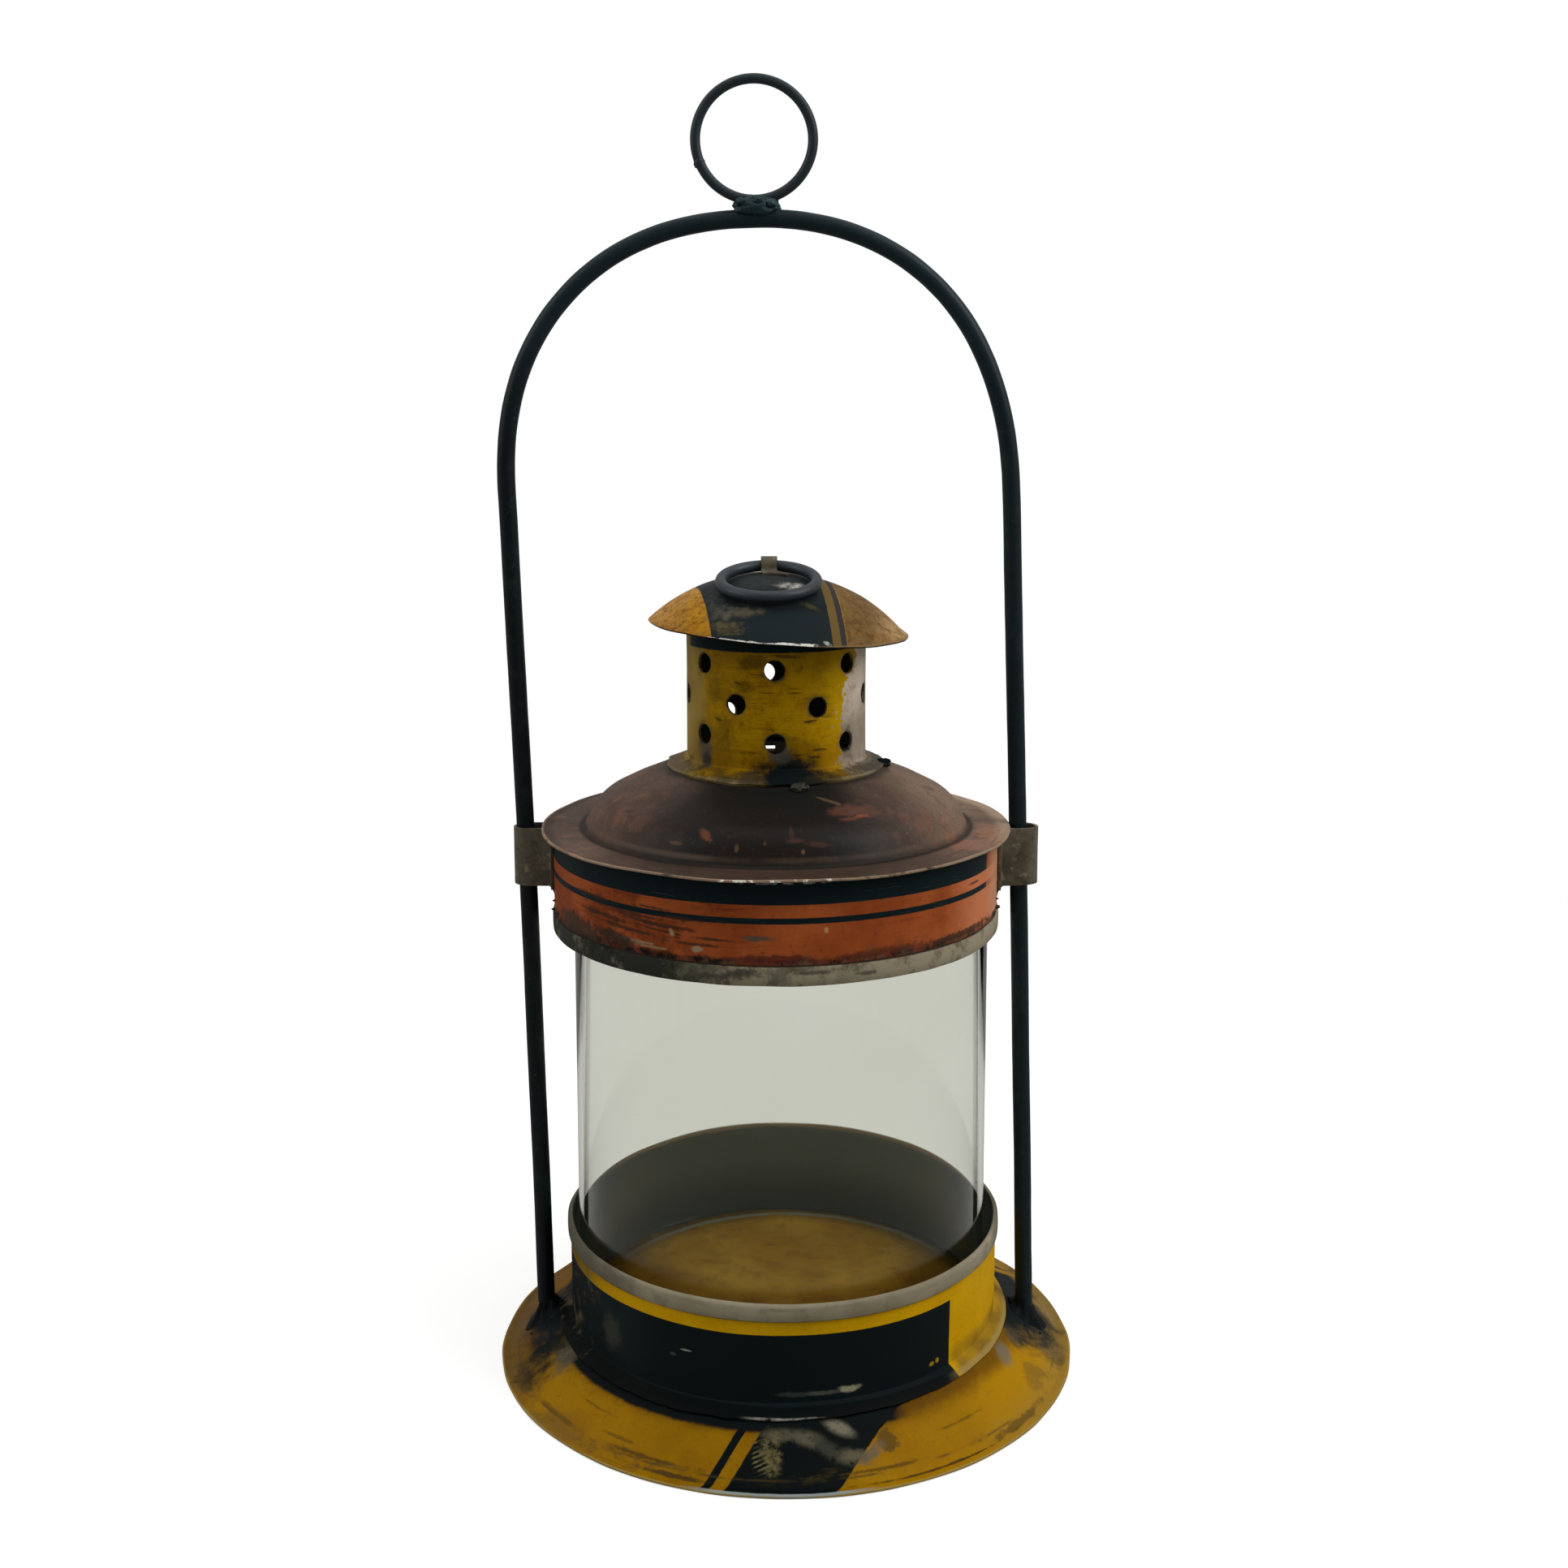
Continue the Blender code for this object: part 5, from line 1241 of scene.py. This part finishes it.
def make_dome(coats):
    """Pressed plate with a flat brim, a step and a crown; a small notch behind the chimney lets light in."""
    corners = [(CROWN_REACH, CROWN_TOP), (44.0, 181.4), (54.6, 176.0), (58.6, DOME_BRIM),
               (DOME_REACH, DOME_BRIM)]
    line = filled(rounded(corners, (30.0, 13.0, 1.2), 10), 1.6)
    bm = turned(sheet(line), TURN_STEPS, HOOD_AXIS)
    soften(bm, 0.22)
    ripple(bm, 22.0, up=0.45, axis=HOOD_AXIS,
           share=lambda reach, z: 0.35 + 0.65 * ramp(reach, 61.0, DOME_REACH))
    ripple(bm, 9.0, up=0.12, axis=HOOD_AXIS)
    notch = bmesh.new()
    behind = Matrix.Translation((HOOD_AXIS - 2.1, 35.8, 184.5)) @ Matrix.Diagonal((3.3, 8.6, 8.0, 1.0))
    bmesh.ops.create_cube(notch, size=1.0, matrix=behind)
    piece("hood_dome_tin", cut(bm, notch), "hood", coats, ("hood_dome",), faces_down)


def vent_places(row):
    """Turns and heights of one row of vents; some were punched a little off."""
    for vent in range(VENTS):
        off, lift = VENTS_OFF.get((row, vent), (0.0, 0.0))
        turn = 360.0 * (vent + 0.5 * (row % 2)) / VENTS + off
        yield radians(turn) - pi / 2, VENT_ROWS[row] + lift


def cap_height(x, y, below=0.0):
    """Height of the cap's bowed top, or of a bow that lies below it."""
    return CAP_CENTRE.z + sqrt((CAP_BOW - below) ** 2 - (x - CAP_CENTRE.x) ** 2 - y * y)


def make_chimney(coats):
    """Tube with a flared foot and punched vents, its top cut to the cap's bow."""
    line = filled(rounded([(TUBE_REACH, TUBE_TOP), (TUBE_REACH, 188.5), (32.8, 185.95)], (1.4,)), 0.9)
    bm = turned(sheet(line, -GAUGE), 200, HOOD_AXIS)
    for vert in bm.verts:
        up = (vert.co.z - TUBE_TOP + 10.0) / 10.0
        if up > 0.0:
            vert.co.z += (cap_height(vert.co.x, vert.co.y, 1.05) - TUBE_TOP) * up
    ripple(bm, 18.0, out=0.3, axis=HOOD_AXIS, share=lambda reach, z: 1.0 if z > 190.0 else 0.3)
    ripple(bm, 7.0, out=0.7, up=0.3, axis=HOOD_AXIS, share=lambda reach, z: max(reach - 30.0, 0.0) / 3.0)
    vents = [place for row in range(len(VENT_ROWS)) for place in vent_places(row)]
    wall, flare = 27.0, 28.5
    for vert in bm.verts:
        x, y = vert.co.x - HOOD_AXIS, vert.co.y
        reach = hypot(x, y)
        if reach > flare:
            push = 1.5 * max(-y / reach, 0.0) ** 2 * (reach - flare) / 5.0
            push_out(vert, push, HOOD_AXIS)
            vert.co.z -= 0.4 * push
        for vent, high in vents:
            if abs(vert.co.z - high) < 6.0:
                far = hypot(((atan2(y, x) - vent + pi) % (2 * pi) - pi) * wall, vert.co.z - high)
                dish = 0.3 * max(1 - max(far - 2.6, 0.0) / 2.2, 0.0) ** 2
                vert.co.x -= dish * x / wall
                vert.co.y -= dish * y / wall
    cutter = bmesh.new()
    for turn, high in vents:
        lay = Matrix.Translation((HOOD_AXIS, 0, 0)) @ Matrix.Rotation(turn, 4, "Z")
        lay = lay @ Matrix.Translation((wall, 0.0, high)) @ Matrix.Rotation(pi / 2, 4, "Y")
        bmesh.ops.create_cone(cutter, cap_ends=True, segments=28, radius1=VENT_REACH, radius2=VENT_REACH,
                              depth=12.0, matrix=lay)
    whole = cut(bm, cutter)
    piece("chimney_tube_tin", whole, "hood", coats, ("chimney_tube",), faces_axis(HOOD_AXIS))


def make_cap(coats):
    """A round sheet bowed like a shallow dish, uneven at the rim."""
    steps = 30
    turns = [asin(CAP_REACH / CAP_BOW) * step / steps for step in range(steps + 1)]
    line = [(CAP_BOW * sin(turn), CAP_BOW * cos(turn)) for turn in turns]
    below = CAP_BOW - GAUGE
    line += [(below * sin(turn), below * cos(turn)) for turn in turns[::-1]]
    bm = turned(line, 200, loop=False)
    soften(bm, 0.2)
    ripple(bm, 15.0, up=0.55, share=lambda reach, z: ramp(reach, 25.0, CAP_REACH))
    for vert in bm.verts:
        reach = hypot(vert.co.x, vert.co.y)
        rim = ramp(reach, 25.0, CAP_REACH)
        tip = max(vert.co.x / max(reach, 1.0), 0.0) ** 10
        vert.co.z += tip * 0.9 * max((reach - 37.2) / 2.3, 0.0) - tip * 0.4 * rim
        vert.co.z -= rim * (0.5 + 0.5 * max(-vert.co.y / max(reach, 1.0), 0.0) ** 2)
    place = Matrix.Translation(CAP_CENTRE) @ Matrix.Rotation(CAP_TILT, 4, "Y")
    bmesh.ops.transform(bm, verts=bm.verts, matrix=place)
    piece("chimney_cap_tin", bm, "hood", coats, ("chimney_cap",), faces_down)


def drawn_out(corners, move):
    """A flat outline drawn out into a bar."""
    bm = bmesh.new()
    face = bm.faces.new([bm.verts.new(corner) for corner in corners])
    raised = bmesh.ops.extrude_face_region(bm, geom=[face], use_keep_orig=True)["geom"]
    bmesh.ops.translate(bm, verts=[item for item in raised if isinstance(item, bmesh.types.BMVert)], vec=move)
    return bm


def cut_across(bm, move, share, cuts):
    """Cuts the edges that run along a bar, so that it can be bent."""
    along = [edge for edge in bm.edges
             if abs((edge.verts[0].co - edge.verts[1].co).dot(move.normalized())) > share * move.length]
    bmesh.ops.subdivide_edges(bm, edges=along, cuts=cuts, use_grid_fill=True)


def swept(path, gauge, low, high, cuts, upright):
    """A strip of sheet: a line with thickness, drawn out along Z or X."""
    line = [Vector(point) for point in path]
    outline = beside(line, -gauge / 2) + beside(line, gauge / 2)[::-1]
    corners = [(point.x, point.y, low) if upright else (low, point.x, point.y) for point in outline]
    move = Vector((0, 0, high - low)) if upright else Vector((high - low, 0, 0))
    bm = drawn_out(corners, move)
    soften(bm, 0.18)
    cut_across(bm, move, 0.6, cuts)
    return bm


def half_turn(x, y, reach, start):
    """Points of half a circle, clockwise from a start."""
    turns = [start - pi * step / 16 for step in range(17)]
    return [(x + reach * cos(turn), y + reach * sin(turn)) for turn in turns]


def make_strap(coats):
    """A strip folded over the ring's wire, its front foot bent to the right."""
    foot = [(reach, cap_height(CAP_CENTRE.x, reach) + lift)
            for reach, lift in ((7.0, 0.5), (5.4, 0.5), (4.0, 0.5), (3.0, 0.65))]
    path = [(-reach, high) for reach, high in foot] + [(-STRAP_BEND, 245.6)]
    path += half_turn(0.0, LOOP_HEIGHT, STRAP_BEND, pi)
    path += [(STRAP_BEND, 245.6)] + foot[::-1]
    bm = swept(path, GAUGE, CAP_CENTRE.x - STRAP_HALF, CAP_CENTRE.x + STRAP_HALF, 4, False)
    for vert in bm.verts:
        tab = max(-3.0 - vert.co.y, 0.0) / 4.0
        right = (vert.co.x - CAP_CENTRE.x + STRAP_HALF) / (2 * STRAP_HALF)
        vert.co.x += tab * (3.2 * right + 0.5)
        vert.co.y += tab * 1.6 * (1 - right)
        vert.co.x += 0.12 * noise.noise(vert.co / 4.0)
        vert.co.z += tab * (cap_height(vert.co.x, vert.co.y) - cap_height(CAP_CENTRE.x, vert.co.y))
    piece("cap_strap_tin", bm, "hood", coats, ("cap_strap",))


def make_cap_ring(coats):
    """Wire ring in the strap, lying on the cap's front slope."""
    bm = ring_mesh(LOOP_REACH, LOOP_WIRE, 112, 20, 0.05, 8.0)
    rest = Matrix.Translation((CAP_CENTRE.x, 0.0, LOOP_HEIGHT)) @ Matrix.Rotation(LOOP_REST, 4, "X")
    bmesh.ops.transform(bm, verts=bm.verts, matrix=rest @ Matrix.Translation((0.0, -14.0, 0.0)))
    piece("cap_ring_iron", bm, "cap_loop", coats, ("cap_ring",), sharp=60.0)


def make_clip(name, way, coats):
    """A hairpin strap: two tails on the band, and a bend round the bail's leg."""
    half, seat = CLIP_HALF, CLIP_SEAT
    knee = half / seat
    path = []
    for step in range(7):
        turn = knee + 6.0 / seat * (1 - step / 7)
        path.append((seat * cos(turn), seat * sin(turn)))
    path += [(seat * cos(knee) + 0.5, half + 0.15), (seat * cos(knee) + 1.6, half)]
    path += half_turn(CLIP_END, 0.0, half, pi / 2)
    path += [(x, -y) for x, y in path[8::-1]]
    bm = swept([(way * x, way * y) for x, y in path], CLIP_GAUGE, CLIP_FOOT, CLIP_TOP, 6, True)
    for vert in bm.verts:
        out = (abs(vert.co.x) - 70.0) / 10.0
        vert.co.y += 0.3 * noise.noise(vert.co / 7.0) * max(out, 0.0)
        wave = noise.noise(Vector((vert.co.x, vert.co.y, way)) / 9.0)
        vert.co.z += 0.35 * wave * (1 if vert.co.z < 158.0 else 0.3)
        vert.co.x += HOOD_AXIS
    piece(name + "_tin", bm, "hood", coats, (name,))


def make_clip_solder(name, way, coats):
    """A fillet of solder under a clip, and burrs beside it."""
    wide, leg = 4.2, 5.4
    line = [(BAND_WALL, 148.75), (BAND_WALL + wide, 148.75)]
    for step in range(9):
        turn = pi / 2 * step / 8
        line.append((BAND_WALL + wide * (1 - sin(turn)) + 0.25, 148.4 - leg * (1 - cos(turn))))
    line.append((BAND_WALL, 142.9))
    move = Vector((0.0, 6.0, 0.0))
    bm = drawn_out([(way * x, -move.y / 2, z) for x, z in line], move)
    cut_across(bm, move, 0.8, 7)
    for vert in bm.verts:
        full = max(1 - (vert.co.y / 3.2) ** 2, 0.0)
        out = abs(vert.co.x) - BAND_WALL
        vert.co.x = way * (BAND_WALL + out * (0.35 + 0.65 * full) + 0.125 * out * noise.noise(vert.co / 2.0))
    burrs = ((-66.6, 146.4, 0.9), (-66.9, 143.4, 1.1)) if way < 0 else ((67.0, 143.9, 1.2), (66.7, 146.9, 0.7))
    beads = [bm]
    for index, (x, z, size) in enumerate(burrs):
        depth = -sqrt(max(68.0 ** 2 - x * x, 0.0))
        beads.append(lump((size * 1.5, size, size * 0.8), (x, depth, z), 0.5, index + way, 3))
    bm = joined(*beads)
    bmesh.ops.translate(bm, verts=bm.verts, vec=(HOOD_AXIS, 0.0, 0.0))
    piece(name + "_metal", bm, "hood", coats, (name,), sharp=60.0)


def dome_height(reach):
    """Height of the dome's crown, near the chimney."""
    return CROWN_TOP - 0.4 * (reach - CROWN_REACH)


def make_chimney_solder(name, turn, seed, coats):
    """A lump of solder at the edge of the chimney's foot, and a smaller drop beside it."""
    def floor(point):
        return dome_height(hypot(point.x - HOOD_AXIS, point.y)) - 0.15

    reach = 35.1 if turn < radians(-40) else 32.4
    at = Vector((HOOD_AXIS + reach * cos(turn), reach * sin(turn), dome_height(reach)))
    aside = Vector((-2.2 * sin(turn), 2.2 * cos(turn), 0.4))
    main = lump((4.6, 4.0, 2.8), at + Vector((0.0, 0.0, 0.45)), 0.3, seed, 4, floor)
    drop = lump((2.2, 2.0, 1.6), at + aside, 0.3, seed + 3, 3, floor)
    piece(name + "_metal", joined(main, drop), "hood", coats, (name,), sharp=60.0)


def make_seams(base_coats, band_coats, tube_coats):
    """Lapped ends of the rolled strips, at the back or side."""
    for name, body, slot, coats, axis, (reach, top, foot, gauge), (start, sweep, steps) in (
            ("collar_seam_tin", "base", "navy_tin", base_coats, 0.0,
             (66.75, 38.9, 17.6, 0.45), (121.0, 5.0, 6)),
            ("band_seam_tin", "hood", "orange_tin", band_coats, HOOD_AXIS,
             (67.9, 166.6, 142.6, 0.45), (100.0, 5.0, 6)),
            ("chimney_seam_tin", "hood", "yellow_tin", tube_coats, HOOD_AXIS,
             (27.3, 230.5, 190.5, 0.4), (115.0, 11.0, 5))):
        line = filled([Vector((reach, top)), Vector((reach, foot))], 3.0)
        piece(name, turned(sheet(line, -gauge), steps, axis, start=start, sweep=sweep), body, coats)


# Stage
def make_floor():
    """A pale floor that fades out, dim where it would throw light back on the lantern."""
    bm = bmesh.new()
    bmesh.ops.create_circle(bm, cap_ends=True, segments=96, radius=2.6)
    mesh = as_mesh("floor", bm)
    material, tree, shader = new_material("pale_floor")
    for label, value in (("Base Color", (0.6, 0.6, 0.6, 1.0)), ("Roughness", 0.9), ("Specular IOR Level", 0.0)):
        shader.inputs[label].default_value = value
    path = add(tree, "LightPath").outputs
    glow = add(tree, "Emission", {"Color": (0.62, 0.62, 0.62, 1.0)})
    bright = add(tree, "AddShader", {0: shader.outputs[0], 1: glow.outputs[0]})
    dim = add(tree, "BsdfDiffuse", {"Color": (0.34, 0.335, 0.32, 1.0)})
    seen = add(tree, "MixShader", {0: path["Is Camera Ray"], 1: dim.outputs[0], 2: bright.outputs[0]})
    grey = add(tree, "Emission", {"Color": THROUGH_GLASS})
    seen = add(tree, "MixShader", {0: path["Is Transmission Ray"], 1: seen.outputs[0], 2: grey.outputs[0]})
    where = add(tree, "VectorMath", {0: add(tree, "TexCoord").outputs["Object"]}, operation="LENGTH")
    far = rise(tree, where.outputs["Value"], 0.25, 0.7)
    fade = add(tree, "MixShader", {0: far, 1: seen.outputs[0], 2: add(tree, "BsdfTransparent").outputs[0]})
    feed(tree, tree.nodes["Material Output"].inputs["Surface"], fade.outputs[0])
    mesh.materials.append(material)
    floor = linked("floor", mesh)
    floor.location.z = -0.0002


def make_room():
    """White to the eye, grey through the glass, and otherwise lighter above and behind than in front."""
    world = bpy.data.worlds.new("studio")
    world.use_nodes = True
    tree = world.node_tree
    white = tree.nodes["Background"]
    white.inputs["Color"].default_value = (1.0, 1.0, 1.0, 1.0)
    way = add(tree, "SeparateXYZ", {0: add(tree, "TexCoord").outputs["Generated"]}).outputs
    level = calc(tree, "MULTIPLY_ADD", way[2], 0.2, calc(tree, "MULTIPLY_ADD", way[1], 0.12, 0.3))
    level = calc(tree, "MAXIMUM", level, 0.05)
    room = add(tree, "Background", {"Color": (1.0, 0.99, 0.97, 1.0), "Strength": level})
    grey = add(tree, "Background", {"Color": THROUGH_GLASS})
    path = add(tree, "LightPath").outputs
    both = add(tree, "MixShader", {0: path["Is Transmission Ray"], 1: room.outputs[0], 2: grey.outputs[0]})
    both = add(tree, "MixShader", {0: path["Is Camera Ray"], 1: both.outputs[0], 2: white.outputs[0]})
    feed(tree, tree.nodes["World Output"].inputs["Surface"], both.outputs[0])
    bpy.context.scene.world = world


def make_lamps():
    """Two windows and a ceiling light, turned towards the lantern."""
    for name, place, size, power in (
            ("right_window", (1.1, -0.4, 1.1), (0.8, 1.1), 11.0),
            ("left_window", (-1.2, -0.3, 0.9), (0.8, 1.1), 5.0),
            ("ceiling", (0.0, 0.1, 1.7), (1.6, 1.6), 5.0)):
        lamp = bpy.data.lights.new(name, "AREA")
        lamp.shape = "RECTANGLE"
        lamp.size, lamp.size_y = size
        lamp.energy = power
        made = linked(name, lamp)
        made.location = place
        made.rotation_euler = (Vector((0.0, 0.0, 0.17)) - Vector(place)).to_track_quat("-Z", "Y").to_euler()


def make_camera():
    """Fitted to the lantern's outline, with sizes in pixels of a square picture."""
    side, focal, middle_x, middle_y, sensor = 1932, 2275.4, 966.4, 811.5, 36.0
    lens = bpy.data.cameras.new("camera")
    lens.sensor_width = sensor
    lens.lens = focal * sensor / side
    lens.shift_x = (side / 2 - middle_x) / side
    lens.shift_y = (middle_y - side / 2) / side
    camera = linked("camera", lens)
    camera.location = (-0.0006, -0.55538, 0.29425)
    camera.rotation_euler = (pi / 2 - radians(7.8), 0.0, 0.0)
    bpy.context.scene.camera = camera
    bpy.context.scene.view_settings.view_transform = "Standard"


def main():
    noise.seed_set(DENT_SEED)
    make_floor()
    make_room()
    make_lamps()
    make_camera()
    underside = inside_tin("underside_tin", ink(104, 96, 80), ink(60, 50, 38))
    inner_wall = inside_tin("inner_wall_tin", ink(24, 27, 24), ink(17, 19, 17), far=ink(50, 52, 45))
    sooty = inside_tin("sooty_tin", ink(24, 23, 20), ink(12, 12, 11), 0.6)
    iron = [iron_black("bail_iron", ink(13, 24, 28), 0.42, 0.18, legs=True)]
    top_iron = [iron_black("hanging_ring_iron", ink(20, 27, 31), 0.45, 0.3)]
    ring_iron = [iron_black("ring_iron", ink(23, 29, 33), 0.45, 0.46)]
    weld = [weld_metal("weld_metal", ink(2, 4, 4), ink(6, 10, 11), 0.55, 0.06)]
    ring_weld = [weld_metal("ring_weld_metal", ink(18, 31, 34), ink(34, 50, 54), 0.45)]
    solder = [weld_metal("solder_metal", ink(21, 22, 20), ink(42, 40, 34), 0.45)]
    tin = [bare_tin()]

    make_base([brim_print(), underside])
    collar = [collar_print(), inner_wall]
    make_collar(collar)
    make_foot_weld("foot_weld_left", -1, weld)
    make_foot_weld("foot_weld_right", 1, weld)
    make_bail(iron)
    make_hanging_ring(top_iron, ring_weld)
    make_glass([clear_glass()])
    band_coats = [band_print(), sooty]
    make_band(band_coats)
    make_dome([dome_rust(), sooty])
    tube = [chimney_print(), sooty]
    make_chimney(tube)
    make_cap([cap_print(), sooty])
    make_strap(tin)
    make_cap_ring(ring_iron)
    for name, way in (("left", -1), ("right", 1)):
        make_clip("clip_" + name, way, tin)
        make_clip_solder("clip_solder_" + name, way, solder)
    make_chimney_solder("chimney_solder_front", radians(-79), 1.0, solder)
    make_chimney_solder("chimney_solder_side", radians(-4), 5.0, weld)
    make_seams(collar[:1], band_coats[:1], tube[:1])


main()
